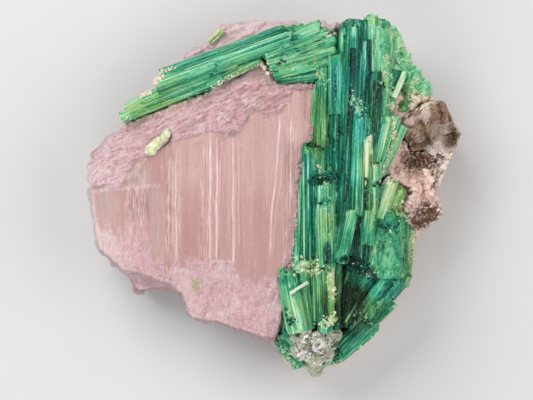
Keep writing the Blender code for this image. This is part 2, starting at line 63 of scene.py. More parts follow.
# Heights of the kunzite, and the line where its face turns over into the slope above
FACE_Z = 26.0
RIDGE = [(-48.0, 1.5), (-43.0, 1.6), (-34.5, 3.0), (-31.0, 9.5), (-28.5, 12.5), (-20.0, 17.5),
         (-11.5, 20.0), (-1.0, 24.5), (10.7, 27.6), (25.0, 30.0)]
FLAKE_SLOPE = 0.33
FLAKE_DROP = 7.0
FLAKE_TURN = math.radians(27.0)
CLEAVAGE = [(-31.0, -1.3), (-25.5, -0.8), (-23.4, -0.2), (-16.3, -1.0), (-10.2, 0.0), (0.8, 0.5),
            (3.6, 0.0), (60.0, -0.5)]

# The lower edge of the flaky zone and the upper edge of the sugary one, from left to right
FLAKE_EDGE = [(-48.0, 3.0), (-45.0, 2.6), (-40.0, 1.8), (-37.6, 2.6), (-36.4, 6.0), (-34.0, 8.6),
              (-31.0, 9.8), (-28.5, 12.0), (-24.0, 13.4), (-16.2, 15.8), (-13.0, 14.6), (-8.6, 15.8),
              (-6.2, 19.4), (-4.5, 20.8), (1.0, 20.4), (3.0, 22.5), (4.8, 25.8), (7.6, 27.0),
              (10.7, 28.2), (25.0, 30.0)]
SUGAR_EDGE = [(-48.0, -6.0), (-40.0, -7.5), (-35.0, -9.5), (-31.0, -12.4), (-29.6, -16.0),
              (-26.0, -18.0), (-24.8, -14.0), (-22.5, -14.8), (-16.0, -16.4), (-10.0, -16.0),
              (-9.0, -19.4), (-4.0, -20.4), (1.2, -19.0), (2.4, -15.6), (6.0, -13.4), (12.0, -12.0)]

# White streaks of the smooth face, cleavage cracks shown with a painted reflection: X at the top and at the
# foot, Y of each, half width, strength
STREAKS = [
    (-26.1, -26.3, 9.6, -14.5, 0.12, 0.8), (-25.2, -25.4, 8.0, -15.5, 0.1, 0.7),
    (-24.4, -24.3, 9.0, -16.0, 0.16, 0.9), (-23.6, -23.5, 6.0, -12.0, 0.08, 0.6),
    (-17.4, -17.6, 13.0, -8.0, 0.12, 0.5), (-16.6, -16.7, 14.0, -19.0, 0.14, 0.7),
    (-15.9, -16.0, 15.9, -19.4, 0.26, 1.0), (-14.1, -14.3, 14.6, -15.5, 0.2, 0.95),
    (-13.4, -13.9, 9.0, -9.0, 0.1, 0.7), (-10.2, -10.1, 13.6, -18.1, 0.2, 1.0),
    (-9.6, -9.7, 6.0, -14.0, 0.08, 0.6), (-8.8, -8.7, 13.1, -11.4, 0.1, 0.6),
    (-5.5, -5.6, 11.0, -7.0, 0.06, 0.35), (-2.4, -2.5, 16.0, -3.0, 0.06, 0.3),
    (1.4, -0.9, 19.6, -13.8, 0.2, 1.0), (2.0, -0.2, 10.0, -14.5, 0.1, 0.7),
    (4.3, 4.1, 19.1, -4.9, 0.16, 0.9), (5.6, 5.4, 17.0, -9.0, 0.12, 0.6),
    (9.6, 9.4, 26.5, 14.0, 0.12, 0.7),
]

# Ranges of X where the smooth face carries a comb of fine white streaks with painted reflection, and their
# strength
COMBS = [(-37.0, -31.4, 0.9), (-27.2, -23.0, 0.8), (-18.6, -15.4, 0.7), (2.6, 6.6, 0.6), (8.0, 12.0, 0.8)]

# The lowest point of each crystal's axis, its highest, the radius, how it ends, and its tone at each end
COLUMN_CRYSTALS = [
    ((17.0, -8.4, 26.5), (19.5, 41.6, 28.0), 3.6, "domed", 0.16, 0.28),
    ((20.8, 0.0, 28.6), (22.6, 38.5, 28.6), 1.6, "flat", 0.14, 0.18),
    ((16.0, -0.9, 28.0), (15.8, 22.6, 28.4), 1.7, "flat", 0.2, 0.3),
    ((15.7, 20.4, 28.6), (15.4, 34.9, 28.9), 1.9, "flat", 0.42, 0.54),
    ((11.9, 3.2, 26.6), (12.5, 31.6, 26.8), 1.7, "flat", 0.36, 0.42),
    ((10.5, 9.1, 25.4), (11.4, 28.4, 25.8), 1.3, "flat", 0.28, 0.42),
    ((9.2, 8.6, 25.0), (10.4, 27.2, 25.4), 0.9, "flat", 0.42, 0.5),
    ((24.5, 11.6, 26.5), (24.3, 44.3, 26.2), 2.1, "domed", 0.4, 0.72),
    ((25.4, 14.0, 25.2), (26.6, 41.6, 26.0), 3.0, "massive", 0.42, 0.7),
    ((27.2, 16.6, 24.6), (28.6, 40.8, 25.2), 1.8, "massive", 0.46, 0.66),
    ((27.7, 24.0, 22.6), (29.6, 36.5, 21.8), 2.0, "massive", 0.5, 0.6),
    ((28.5, 22.9, 21.6), (30.9, 32.2, 20.8), 1.9, "massive", 0.5, 0.6),
    ((29.5, 21.6, 21.0), (32.7, 29.0, 20.2), 1.9, "massive", 0.5, 0.6),
    ((30.5, 20.8, 20.4), (35.0, 26.6, 19.6), 1.8, "massive", 0.46, 0.6),
    ((32.0, 22.2, 19.4), (37.6, 25.6, 18.6), 1.8, "massive", 0.5, 0.62),
    ((23.5, 1.6, 28.0), (25.5, 30.4, 28.0), 1.6, "flat", 0.28, 0.16),
    ((25.0, 6.6, 26.8), (27.4, 31.6, 26.6), 1.6, "flat", 0.34, 0.6),
    ((29.8, 24.6, 26.4), (32.4, 30.6, 26.2), 0.8, "flat", 0.9, 0.84),
    ((28.6, 27.0, 26.2), (30.6, 31.4, 25.8), 1.1, "flat", 0.3, 0.28),
    ((24.5, 4.6, 27.4), (28.0, 19.6, 27.2), 1.8, "flat", 0.44, 0.62),
    ((25.0, 5.1, 26.8), (29.9, 19.4, 26.2), 1.9, "flat", 0.52, 0.66),
    ((25.7, 5.6, 25.4), (31.5, 18.0, 24.6), 1.8, "flat", 0.56, 0.7),
    ((20.5, -4.6, 28.8), (21.2, 21.1, 29.2), 2.5, "broken", 0.26, 0.44),
    ((22.5, -0.9, 29.0), (23.2, 19.1, 29.2), 1.2, "flat", 0.3, 0.35),
    ((6.9, -16.6, 25.8), (7.4, 4.6, 26.2), 1.3, "flat", 0.5, 0.5),
    ((8.7, -17.1, 26.6), (8.6, 12.0, 27.0), 1.9, "broken", 0.32, 0.46),
    ((10.1, -16.4, 26.4), (10.3, 11.6, 26.4), 1.4, "flat", 0.26, 0.44),
    ((13.0, -18.4, 28.0), (12.7, 5.6, 28.6), 2.4, "broken", 0.36, 0.54),
    ((13.0, -17.4, 29.8), (12.5, -1.6, 30.8), 2.3, "broken", 0.46, 0.6),
    ((15.7, -16.4, 29.4), (18.0, 0.1, 29.8), 1.1, "domed", 0.26, 0.3),
    ((16.6, -16.4, 29.6), (19.5, -3.4, 30.4), 1.5, "broken", 0.42, 0.7),
    ((19.0, -14.6, 27.0), (21.0, 6.6, 27.6), 2.2, "flat", 0.14, 0.26),
    ((22.8, 1.0, 29.2), (23.1, 14.4, 30.5), 1.4, "broken", 0.72, 0.97),
    ((24.3, -4.4, 29.4), (24.5, 8.6, 30.0), 1.0, "broken", 0.56, 0.8),
    ((23.0, -12.0, 28.2), (24.7, 7.9, 29.0), 2.0, "broken", 0.3, 0.66),
    ((26.0, -5.4, 26.6), (29.2, 3.6, 26.4), 1.9, "broken", 0.7, 0.72),
    ((27.5, -5.0, 25.0), (31.6, 1.6, 24.6), 1.7, "massive", 0.62, 0.66),
    ((6.5, -33.6, 23.8), (3.6, -19.1, 24.6), 2.8, "broken", 0.72, 0.58),
    ((8.6, -33.0, 23.6), (7.2, -20.9, 25.0), 1.7, "flat", 0.5, 0.55),
    ((12.7, -33.6, 27.4), (12.0, -10.4, 28.6), 1.9, "flat", 0.5, 0.46),
    ((14.0, -31.4, 28.2), (14.0, -16.4, 29.0), 1.0, "flat", 0.66, 0.8),
    ((4.0, -24.0, 27.8), (8.4, -21.2, 28.0), 0.5, "flat", 0.98, 0.95),
    ((7.0, -42.0, 16.0), (2.2, -36.4, 18.4), 2.3, "broken", 0.5, 0.4),
    ((7.0, -38.6, 18.6), (2.4, -34.0, 20.4), 2.0, "flat", 0.4, 0.4),
    ((5.2, -18.4, 24.6), (6.0, -5.4, 25.4), 0.9, "flat", 0.56, 0.6),
    ((5.0, -21.0, 23.4), (6.6, -11.4, 24.8), 1.3, "flat", 0.5, 0.5),
    ((10.6, -31.0, 24.6), (10.2, -14.6, 26.0), 1.5, "flat", 0.3, 0.5),
    ((8.2, -27.0, 24.4), (7.5, -17.0, 26.0), 1.4, "broken", 0.5, 0.62),
    ((6.2, -18.8, 26.6), (7.6, -16.0, 27.0), 1.2, "broken", 0.6, 0.72),
    ((14.0, -24.0, 27.4), (14.6, -12.0, 28.8), 0.9, "broken", 0.4, 0.56),
]
FAN_CRYSTALS = [
    ((28.5, -20.0, 22.4), (28.6, -4.6, 23.4), 4.9, "massive", 0.48, 0.44),
    ((31.3, -22.4, 19.2), (33.2, -7.4, 19.8), 2.8, "massive", 0.6, 0.6),
    ((25.2, -18.4, 25.0), (26.0, -5.0, 25.2), 2.4, "massive", 0.44, 0.48),
    ((22.0, -30.4, 22.6), (29.6, -19.8, 24.2), 3.2, "massive", 0.34, 0.46),
    ((19.5, -33.4, 20.6), (31.2, -21.6, 21.0), 2.3, "flat", 0.3, 0.36),
    ((17.7, -37.1, 17.4), (29.3, -26.2, 17.6), 2.5, "flat", 0.36, 0.4),
    ((15.6, -40.0, 16.6), (25.0, -32.3, 16.4), 2.5, "domed", 0.4, 0.5),
    ((16.2, -37.4, 20.4), (22.4, -31.2, 21.2), 2.2, "broken", 0.32, 0.3),
    ((15.2, -33.0, 25.6), (15.8, -16.4, 27.4), 1.4, "flat", 0.3, 0.22),
    ((16.4, -32.4, 22.8), (17.3, -18.4, 24.8), 1.4, "flat", 0.26, 0.2),
    ((17.6, -32.4, 22.4), (19.6, -18.9, 24.0), 1.5, "flat", 0.3, 0.2),
    ((18.8, -31.8, 22.0), (21.9, -20.4, 23.6), 1.5, "flat", 0.34, 0.2),
    ((18.6, -21.6, 23.2), (21.4, -14.6, 25.0), 3.0, "massive", 0.1, 0.1),
    ((21.6, -19.4, 24.4), (22.3, -8.8, 26.8), 2.1, "broken", 0.14, 0.2),
    ((20.4, -26.0, 23.2), (24.2, -18.8, 25.6), 1.8, "massive", 0.26, 0.34),
    ((17.8, -31.2, 23.8), (21.2, -25.6, 24.4), 0.35, "flat", 0.6, 0.7),
    ((28.4, -24.8, 23.4), (32.4, -17.4, 22.0), 2.0, "broken", 0.34, 0.44),
]
BAND_CRYSTALS = [
    ((-28.2, 30.2, 24.6), (2.2, 41.2, 25.6), 1.6, "flat", 0.38, 0.34),
    ((-27.4, 29.2, 25.4), (-4.0, 37.6, 26.2), 1.1, "flat", 0.46, 0.46),
    ((-29.2, 27.2, 25.2), (-12.6, 33.4, 26.0), 1.8, "flat", 0.54, 0.54),
    ((-38.2, 19.8, 22.6), (-13.4, 29.2, 25.6), 1.6, "domed", 0.6, 0.46),
    ((-36.6, 22.0, 22.0), (-27.4, 26.2, 23.6), 1.5, "broken", 0.66, 0.56),
    ((-33.0, 23.4, 23.6), (-16.0, 30.4, 25.6), 1.2, "flat", 0.56, 0.5),
    ((-14.6, 32.6, 26.2), (4.5, 39.4, 26.4), 2.0, "flat", 0.52, 0.6),
    ((-12.8, 29.9, 24.6), (-3.6, 34.2, 25.2), 1.3, "broken", 0.54, 0.6),
    ((-3.0, 35.6, 25.0), (11.4, 42.2, 25.4), 1.8, "broken", 0.58, 0.66),
    ((-1.9, 34.4, 26.4), (13.0, 40.6, 26.2), 1.7, "broken", 0.56, 0.68),
    ((-1.6, 33.0, 27.0), (14.8, 38.6, 27.0), 1.6, "domed", 0.5, 0.64),
    ((-1.0, 31.8, 27.0), (14.8, 36.2, 27.2), 1.7, "domed", 0.42, 0.58),
    ((-0.2, 30.4, 26.6), (14.0, 33.6, 26.6), 1.7, "broken", 0.38, 0.52),
    ((1.0, 29.2, 25.8), (12.8, 30.8, 25.8), 1.5, "flat", 0.34, 0.44),
]
CHIP_CRYSTALS = [
    ((-30.8, 11.6, 24.4), (-27.0, 15.0, 24.8), 0.7, "massive", 0.9, 0.97),
]
# How far below the band's crystals a second row of them lies, on the slope
BAND_THICKNESS = 2.4
EDGE_CHIP_CRYSTALS = [
    ((-16.2, 38.6, 19.0), (-12.8, 41.6, 19.4), 0.9, "massive", 0.84, 0.9),
]

# The upper right margin, along which short pale crystals stand out, and the heights at its two ends
MARGIN = [(23.0, 44.4), (26.4, 44.4), (29.4, 42.6), (31.4, 39.8), (32.9, 36.2), (34.2, 33.4),
          (36.0, 31.2), (37.8, 29.2), (39.6, 27.0)]
MARGIN_HEIGHTS = (25.4, 19.6)

# Soft spots on the tourmaline: the middle, the half width and half height, and the change there
SHADES = [
    (19.8, 41.0, 0.9, 1.6, 0.4), (16.6, 38.6, 0.6, 3.0, 0.35), (22.3, 33.0, 0.5, 8.0, 0.15),
    (12.0, 17.0, 3.2, 3.4, 0.1), (28.2, 31.0, 1.4, 4.0, 0.18), (29.0, 25.6, 1.2, 4.0, 0.15),
    # The spot at 21.0, 27.0 is a painted highlight line down the core crystal.
    (21.0, 27.0, 1.0, 5.0, 0.1), (12.4, -3.0, 2.0, 3.0, 0.13), (15.2, -1.0, 0.6, 3.0, 0.1),
    (28.0, -14.0, 2.2, 3.6, 0.1), (31.6, -10.4, 1.6, 3.0, 0.12), (3.6, -20.4, 3.0, 1.6, -0.22),
    (13.0, -14.4, 2.2, 3.4, -0.2), (19.6, -26.0, 3.6, 5.0, -0.36), (16.6, -29.0, 1.4, 5.0, -0.2),
    (13.0, -27.4, 2.6, 6.0, -0.28), (8.6, -26.5, 2.2, 4.5, -0.1), (22.4, -24.0, 2.0, 4.0, -0.12), (5.0, 31.0, 6.0, 2.0, 0.12), (6.0, 37.0, 7.0, 3.0, -0.06),
    (20.0, 6.0, 2.6, 4.0, 0.12), (33.2, 30.0, 1.6, 1.2, -0.2), (24.6, -12.6, 0.9, 4.0, 0.2),
    (12.4, -1.2, 2.2, 1.2, -0.2), (10.6, -26.0, 1.6, 6.0, 0.12),
    (27.2, -7.6, 2.4, 2.2, -0.14), (19.0, -33.0, 2.4, 2.4, -0.2), (17.6, -10.6, 1.6, 3.0, -0.16),
]
# The same for warmth: above 0 the green is warmer, below 0 cooler
WARMTH = [
    (10.6, 17.0, 3.4, 11.0, 0.8), (28.0, 34.6, 0.9, 2.2, 0.7), (32.6, 23.8, 1.6, 2.6, 0.9),
    (29.8, 12.0, 3.0, 5.0, 0.35), (30.0, -0.6, 4.0, 5.0, 0.9), (23.4, 7.0, 2.0, 9.0, 0.75),
    (13.6, -24.0, 3.0, 9.0, 0.95), (12.6, -8.0, 2.6, 5.0, 0.6), (24.6, -4.0, 3.0, 5.0, 0.4),
    (8.0, 36.0, 6.0, 3.5, 0.35), (-28.0, 22.0, 10.0, 3.0, 0.8), (-8.0, 31.6, 5.0, 1.6, 0.5),
    (-29.0, 13.4, 4.0, 4.0, 1.0), (24.0, -30.0, 5.0, 4.0, 0.3), (9.0, -18.0, 3.0, 3.0, 0.5), (25.5, 22.5, 3.5, 6.0, 0.2),
    (9.4, -27.0, 2.4, 6.0, 0.45), (20.0, -27.0, 4.4, 7.0, 1.0), (34.0, -16.0, 2.0, 9.0, 0.6),
    (21.0, 28.0, 3.4, 14.0, -0.6), (15.5, 28.5, 2.2, 7.0, -0.9), (21.1, 16.0, 2.4, 4.0, -0.8),
    (26.7, 16.0, 0.7, 4.0, -0.9), (27.5, -22.4, 5.0, 3.6, -0.5), (-10.0, 37.0, 9.0, 2.4, -0.5),
    (8.9, 8.2, 1.9, 4.0, -0.6), (25.0, 41.4, 2.4, 1.2, -0.8), (19.4, 6.0, 2.4, 6.0, -0.5),
    (-28.0, 12.0, 6.0, 5.0, 0.3), (-14.0, 40.0, 5.0, 5.0, 0.9), (16.8, -25.0, 3.0, 9.0, 0.8),
]
# The same for sparkle, the strength of the painted glints
SPARKLES = [
    (19.9, 23.4, 2.0, 3.0, 0.9), (19.4, 42.2, 0.9, 1.4, 0.5), (9.8, 10.2, 0.5, 1.0, 0.9),
    (15.6, 27.0, 1.4, 5.0, 0.35), (12.6, 1.2, 1.4, 2.0, 0.5), (22.6, -19.4, 1.2, 1.2, 0.9),
    (4.0, 33.5, 4.0, 3.0, 0.35), (21.0, -30.0, 2.0, 2.0, 0.6), (27.5, 5.0, 8.0, 30.0, 0.2),
    (6.0, -29.0, 2.0, 4.0, 0.35), (-12.0, 31.0, 12.0, 2.0, 0.3), (12.8, -3.2, 2.2, 2.0, 0.5),
]

# Lumps: the middle, the radius and, for tourmaline, the tone
DARK_LUMPS = [
    (16.9, -15.0, 25.8, 1.2, 0.02), (18.3, -15.7, 26.0, 1.6, 0.0), (20.0, -16.5, 26.0, 1.9, 0.0),
    (21.8, -17.5, 25.8, 2.0, 0.0), (23.5, -18.5, 25.4, 1.9, 0.02), (25.0, -19.6, 25.0, 1.3, 0.06),
    (32.3, 22.6, 22.4, 1.5, 0.42), (33.2, 25.2, 21.8, 1.1, 0.56), (14.7, 37.8, 25.0, 1.3, 0.42),
    (14.6, 35.4, 25.4, 1.4, 0.48), (14.6, 40.0, 24.4, 1.1, 0.4),
    (3.2, 41.0, 24.6, 1.2, 0.42), (5.0, 41.6, 24.4, 1.2, 0.48), (7.0, 42.0, 24.2, 1.1, 0.5),
]
ALBITE_LUMPS = [
    (27.4, 6.8, 20.8, 1.6), (28.8, 4.6, 20.0, 1.9), (31.6, 2.4, 18.4, 2.0), (33.6, 0.4, 17.4, 2.0),
    (30.4, 18.6, 20.0, 1.9), (31.4, 16.2, 19.4, 2.0), (30.6, 13.4, 19.4, 1.9), (29.6, 10.4, 20.0, 1.8),
    (28.8, 8.4, 20.4, 1.6), (29.9, 22.2, 22.6, 1.4), (31.0, 24.4, 22.8, 1.2), (31.2, 20.6, 21.2, 1.7),
    (33.4, 20.6, 20.4, 1.6), (35.4, -8.0, 13.0, 1.8),
]
CHIP_LUMPS = [
    (-30.6, 11.5, 25.2, 1.35, 1.0), (-29.9, 12.5, 25.4, 1.3, 0.97), (-29.0, 13.1, 25.4, 1.3, 1.0),
    (-28.2, 14.0, 25.5, 1.15, 0.98), (-27.4, 14.7, 25.6, 1.1, 1.0), (-26.7, 15.6, 25.7, 0.9, 0.96),
]
CREAM_LUMPS = [
    (34.2, 24.2, 20.6, 1.2), (35.8, 24.6, 20.2, 1.1), (37.4, 24.4, 20.0, 1.1), (39.2, 24.0, 19.4, 1.0),
    (34.6, 22.6, 21.0, 1.2), (-3.2, 33.2, 25.0, 0.6), (-2.2, 32.0, 25.0, 0.6), (-1.4, 30.6, 24.8, 0.6),
]

LOWEST_CRUST = 12.0

# Lines of dark crumbled tourmaline: both ends, the spread, how many grains, their size and tone
DARK_CRUSTS = [
    ((8.2, 13.2), (12.4, 11.6), 0.35, 60, 0.4, 0.03), ((8.9, 3.6), (15.2, 5.2), 0.7, 190, 0.55, 0.04),
    ((16.0, 16.2), (17.4, 15.4), 0.4, 30, 0.35, 0.03), ((20.6, 19.8), (22.4, 19.4), 0.25, 22, 0.35, 0.05),
    ((24.0, 8.6), (25.8, 8.2), 0.2, 18, 0.3, 0.08), ((24.4, 3.5), (26.8, 3.0), 0.3, 30, 0.4, 0.06),
    ((22.8, 1.0), (24.2, 0.7), 0.25, 16, 0.35, 0.1), ((26.0, -6.6), (29.2, -8.6), 0.8, 70, 0.4, 0.14),
    ((16.8, -15.4), (25.0, -19.8), 0.9, 240, 0.5, 0.06), ((21.2, -29.2), (24.4, -32.0), 0.7, 90, 0.45, 0.08),
    ((2.8, -28.4), (4.6, -31.4), 0.6, 50, 0.5, 0.1), ((26.0, 28.2), (27.6, 27.6), 0.3, 20, 0.35, 0.05),
    ((0.0, 30.6), (2.0, 33.6), 0.4, 26, 0.4, 0.12), ((14.8, -36.0), (16.6, -40.0), 0.5, 30, 0.4, 0.12),
]
PALE_CRUSTS = [
    ((6.2, -16.2), (11.0, -18.6), 0.9, 150, 0.6, 0.86), ((33.4, -23.6), (28.6, -32.4), 0.5, 120, 0.5, 0.8),
    ((28.0, -33.0), (19.6, -41.6), 0.6, 170, 0.5, 0.76), ((10.4, 33.2), (12.6, 27.8), 0.7, 80, 0.5, 0.72),
    ((27.8, 31.6), (29.2, 21.6), 0.6, 90, 0.5, 0.7),
    ((13.6, -17.6), (14.6, -25.4), 0.5, 80, 0.5, 0.9), ((19.2, 24.6), (21.4, 21.6), 0.8, 90, 0.5, 0.7),
    ((4.6, -18.8), (7.6, -17.4), 0.6, 50, 0.5, 0.84), ((29.6, -1.6), (33.0, -5.0), 0.9, 70, 0.5, 0.74),
    ((0.8, -37.0), (6.0, -44.0), 0.7, 130, 0.5, 0.8), ((13.2, -41.4), (18.6, -43.0), 0.6, 90, 0.5, 0.78),
    ((11.4, -31.6), (15.4, -30.0), 0.7, 110, 0.5, 0.9),
]

# Lines of cream grains of albite: both ends, the spread, how many and their size
CREAM_CRUSTS = [
    ((-37.6, 17.4), (-17.8, 25.2), 0.35, 260, 0.4), ((-17.8, 25.2), (-12.4, 28.4), 0.35, 90, 0.4),
    ((-12.8, 28.9), (-3.0, 32.6), 0.3, 170, 0.35), ((-28.8, 30.2), (-32.6, 25.4), 0.5, 330, 0.75),
    ((-29.6, 30.4), (-24.6, 32.2), 0.3, 60, 0.35), ((12.8, 39.6), (15.6, 40.8), 0.2, 50, 0.4),
    ((34.0, 25.0), (40.4, 23.8), 0.5, 420, 0.4), ((29.0, 22.6), (31.0, 22.0), 0.6, 160, 0.4),
    ((34.8, -8.4), (35.2, -21.8), 0.25, 330, 0.35), ((38.6, 22.8), (34.0, 23.4), 0.5, 240, 0.4),
    ((10.9, 7.8), (11.6, 5.8), 0.2, 22, 0.4), ((-2.2, 33.8), (-1.2, 31.0), 0.25, 36, 0.35),
    ((26.8, 3.6), (29.4, 4.8), 0.6, 90, 0.45), ((-39.4, 17.4), (-36.0, 20.0), 0.3, 40, 0.35),
    ((27.6, 35.6), (28.6, 33.0), 0.3, 30, 0.35), ((29.6, 20.0), (29.8, 14.0), 0.3, 90, 0.35),
    ((29.4, 12.6), (27.0, 6.0), 0.3, 90, 0.35), ((31.0, -2.4), (34.4, -7.4), 0.3, 90, 0.35),
]

# The seam between the kunzite's face and the column, filled with pink grains
SEAM = [(11.2, 27.2), (10.2, 21.0), (9.2, 14.6), (7.0, 12.6), (6.0, 4.0), (5.2, -8.0), (4.4, -16.4),
        (1.6, -20.8), (1.0, -29.0), (-0.2, -34.6)]

# The same below the right block of the band
BAND_SEAM = [(-3.0, 33.6), (-1.8, 30.6), (-0.6, 28.2), (5.0, 27.6), (10.8, 27.4)]

# Tones of tourmaline from the darkest to the palest: the usual green, a cool one and a warm one
TONES = [
    (0.0, (0.002, 0.014, 0.009)), (0.14, (0.003, 0.06, 0.036)), (0.28, (0.006, 0.155, 0.085)),
    (0.42, (0.022, 0.28, 0.135)), (0.56, (0.085, 0.44, 0.19)), (0.7, (0.22, 0.58, 0.28)),
    (0.85, (0.44, 0.68, 0.40)), (1.0, (0.76, 0.80, 0.62)),
]
COOL_TONES = [
    (0.0, (0.001, 0.012, 0.013)), (0.14, (0.001, 0.055, 0.05)), (0.28, (0.002, 0.15, 0.12)),
    (0.42, (0.008, 0.30, 0.22)), (0.56, (0.04, 0.47, 0.34)), (0.7, (0.16, 0.60, 0.44)),
    (0.85, (0.38, 0.72, 0.56)), (1.0, (0.70, 0.84, 0.74)),
]
WARM_TONES = [
    (0.0, (0.008, 0.014, 0.004)), (0.14, (0.018, 0.05, 0.012)), (0.28, (0.04, 0.13, 0.03)),
    (0.42, (0.08, 0.26, 0.055)), (0.56, (0.19, 0.42, 0.10)), (0.7, (0.38, 0.56, 0.19)),
    (0.85, (0.58, 0.66, 0.33)), (1.0, (0.82, 0.80, 0.56)),
]

# Camera and studio, in metres
CAMERA_LENS = 180.0
CAMERA_PLACE = (-0.0018, -0.0007, 0.688)


class KunziteSettings(bpy.types.PropertyGroup):
    face: bpy.props.FloatVectorProperty(
        name="Cleavage face", description="Colour of the smooth face", default=(0.578, 0.335, 0.322),
        subtype="COLOR",
    )
    blush: bpy.props.FloatVectorProperty(
        name="Blush", description="Deeper colour of the face's lower half",
        default=(0.50, 0.27, 0.25), subtype="COLOR",
    )
    flakes: bpy.props.FloatVectorProperty(
        name="Flaky slope", description="Colour of the rough upper slope",
        default=(0.81, 0.50, 0.53), subtype="COLOR",
    )
    sugar: bpy.props.FloatVectorProperty(
        name="Sugary foot", description="Colour of the grainy lower part",
        default=(0.74, 0.455, 0.485), subtype="COLOR",
    )
    # Colour of the white streak cores and frosted grains, and of the painted glints and highlights on the
    # kunzite
    glints_and_frost: bpy.props.FloatVectorProperty(
        name="Frost", description="Colour of streaks and broken grains",
        default=(0.94, 0.80, 0.79), subtype="COLOR",
    )
    cell: bpy.props.FloatProperty(
        name="Surface cell", description="Size of the smallest modelled relief, in millimetres",
        default=0.44, min=0.4, max=2.0,
    )


class SpecimenSettings(bpy.types.PropertyGroup):
    albite: bpy.props.FloatVectorProperty(
        name="Albite", description="Colour of the granular matrix", default=(0.84, 0.62, 0.50),
        subtype="COLOR",
    )
    stain: bpy.props.FloatVectorProperty(
        name="Stain", description="Colour of the brown stains", default=(0.13, 0.06, 0.025),
        subtype="COLOR",
    )
    cream: bpy.props.FloatVectorProperty(
        name="Cream crust", description="Colour of the cream grains along the seams",
        default=(0.82, 0.72, 0.56), subtype="COLOR",
    )
    tuft: bpy.props.FloatVectorProperty(
        name="Tuft", description="Colour of the pale tuft", default=(0.40, 0.42, 0.30),
        subtype="COLOR",
    )
    smoke: bpy.props.FloatVectorProperty(
        name="Smoke", description="Colour that the quartz lets through", default=(0.50, 0.36, 0.27),
        subtype="COLOR",
    )
    needles: bpy.props.IntProperty(
        name="Needles", description="Thin crystals grown beside each main one", default=12, min=0,
    )


class StageSettings(bpy.types.PropertyGroup):
    floor: bpy.props.FloatVectorProperty(
        name="Floor", description="Colour of the floor", default=(0.66, 0.66, 0.66), subtype="COLOR",
    )
    light: bpy.props.FloatProperty(
        name="Key light", description="Power of the main light", default=3.9, min=0.0, subtype="POWER",
        unit="POWER",
    )


def clamped(value, low=0.0, high=1.0):
    return max(low, min(high, value))


def smoothly(low, high, value):
    share = clamped((value - low) / (high - low))
    return share * share * (3.0 - 2.0 * share)


def along(line, x):
    """The Y of a line of points at X."""
    for (ax, ay), (bx, by) in zip(line, line[1:]):
        if x <= bx:
            return ay + (by - ay) * (x - ax) / (bx - ax)
    return line[-1][1]


def point_on(line, share):
    """The point that lies a share of the way down a line of points."""
    step = min(int(share * (len(line) - 1)), len(line) - 2)
    return Vector(line[step]).lerp(Vector(line[step + 1]), share * (len(line) - 1) - step)


def grain_noise(x, y, z, size, octaves=3):
    return noise.fractal(Vector((x, y, z)) / size, 0.9, 2.1, octaves)


def crumpled(x, y, z, size):
    """Sharp-edged relief from 0 in its creases to about 1."""
    return abs(noise.noise(Vector((x, y, z)) / size)) * 2.0


def spotted(spots, x, y):
    """What a list of soft spots adds up to at a place."""
    total = 0.0
    for centre_x, centre_y, half_x, half_y, amount in spots:
        distance = math.hypot((x - centre_x) / half_x, (y - centre_y) / half_y)
        total += amount * smoothly(1.15, 0.55, distance)
    return total


class Value:
    """A number that changes over a surface, used in ordinary expressions."""

    def __init__(self, finish, socket):
        self.finish = finish
        self.socket = socket

    def worked(self, operation, first, second):
        made = self.finish.node("ShaderNodeMath", {"operation": operation}, {0: first, 1: second})
        return Value(self.finish, made.outputs[0])

    def __add__(self, other):
        return self.worked("ADD", self, other)

    __radd__ = __add__

    def __sub__(self, other):
        return self.worked("SUBTRACT", self, other)

    def __rsub__(self, other):
        return self.worked("SUBTRACT", other, self)

    def __mul__(self, other):
        return self.worked("MULTIPLY", self, other)

    __rmul__ = __mul__

    def least(self, other):
        return self.worked("MINIMUM", self, other)

    def most(self, other):
        return self.worked("MAXIMUM", self, other)

    def size(self):
        return self.worked("ABSOLUTE", self, 0.0)

    def between(self, low, high):
        """0 at the first value and 1 at the second, with soft ends."""
        settings = {"interpolation_type": "SMOOTHSTEP"}
        inputs = {"Value": self, "From Min": low, "From Max": high}
        made = self.finish.node("ShaderNodeMapRange", settings, inputs)
        return Value(self.finish, made.outputs["Result"])

    def within(self, low, high, soft):
        """1 between two values and 0 outside them."""
        return self.between(low - soft, low + soft) * self.between(high + soft, high - soft)


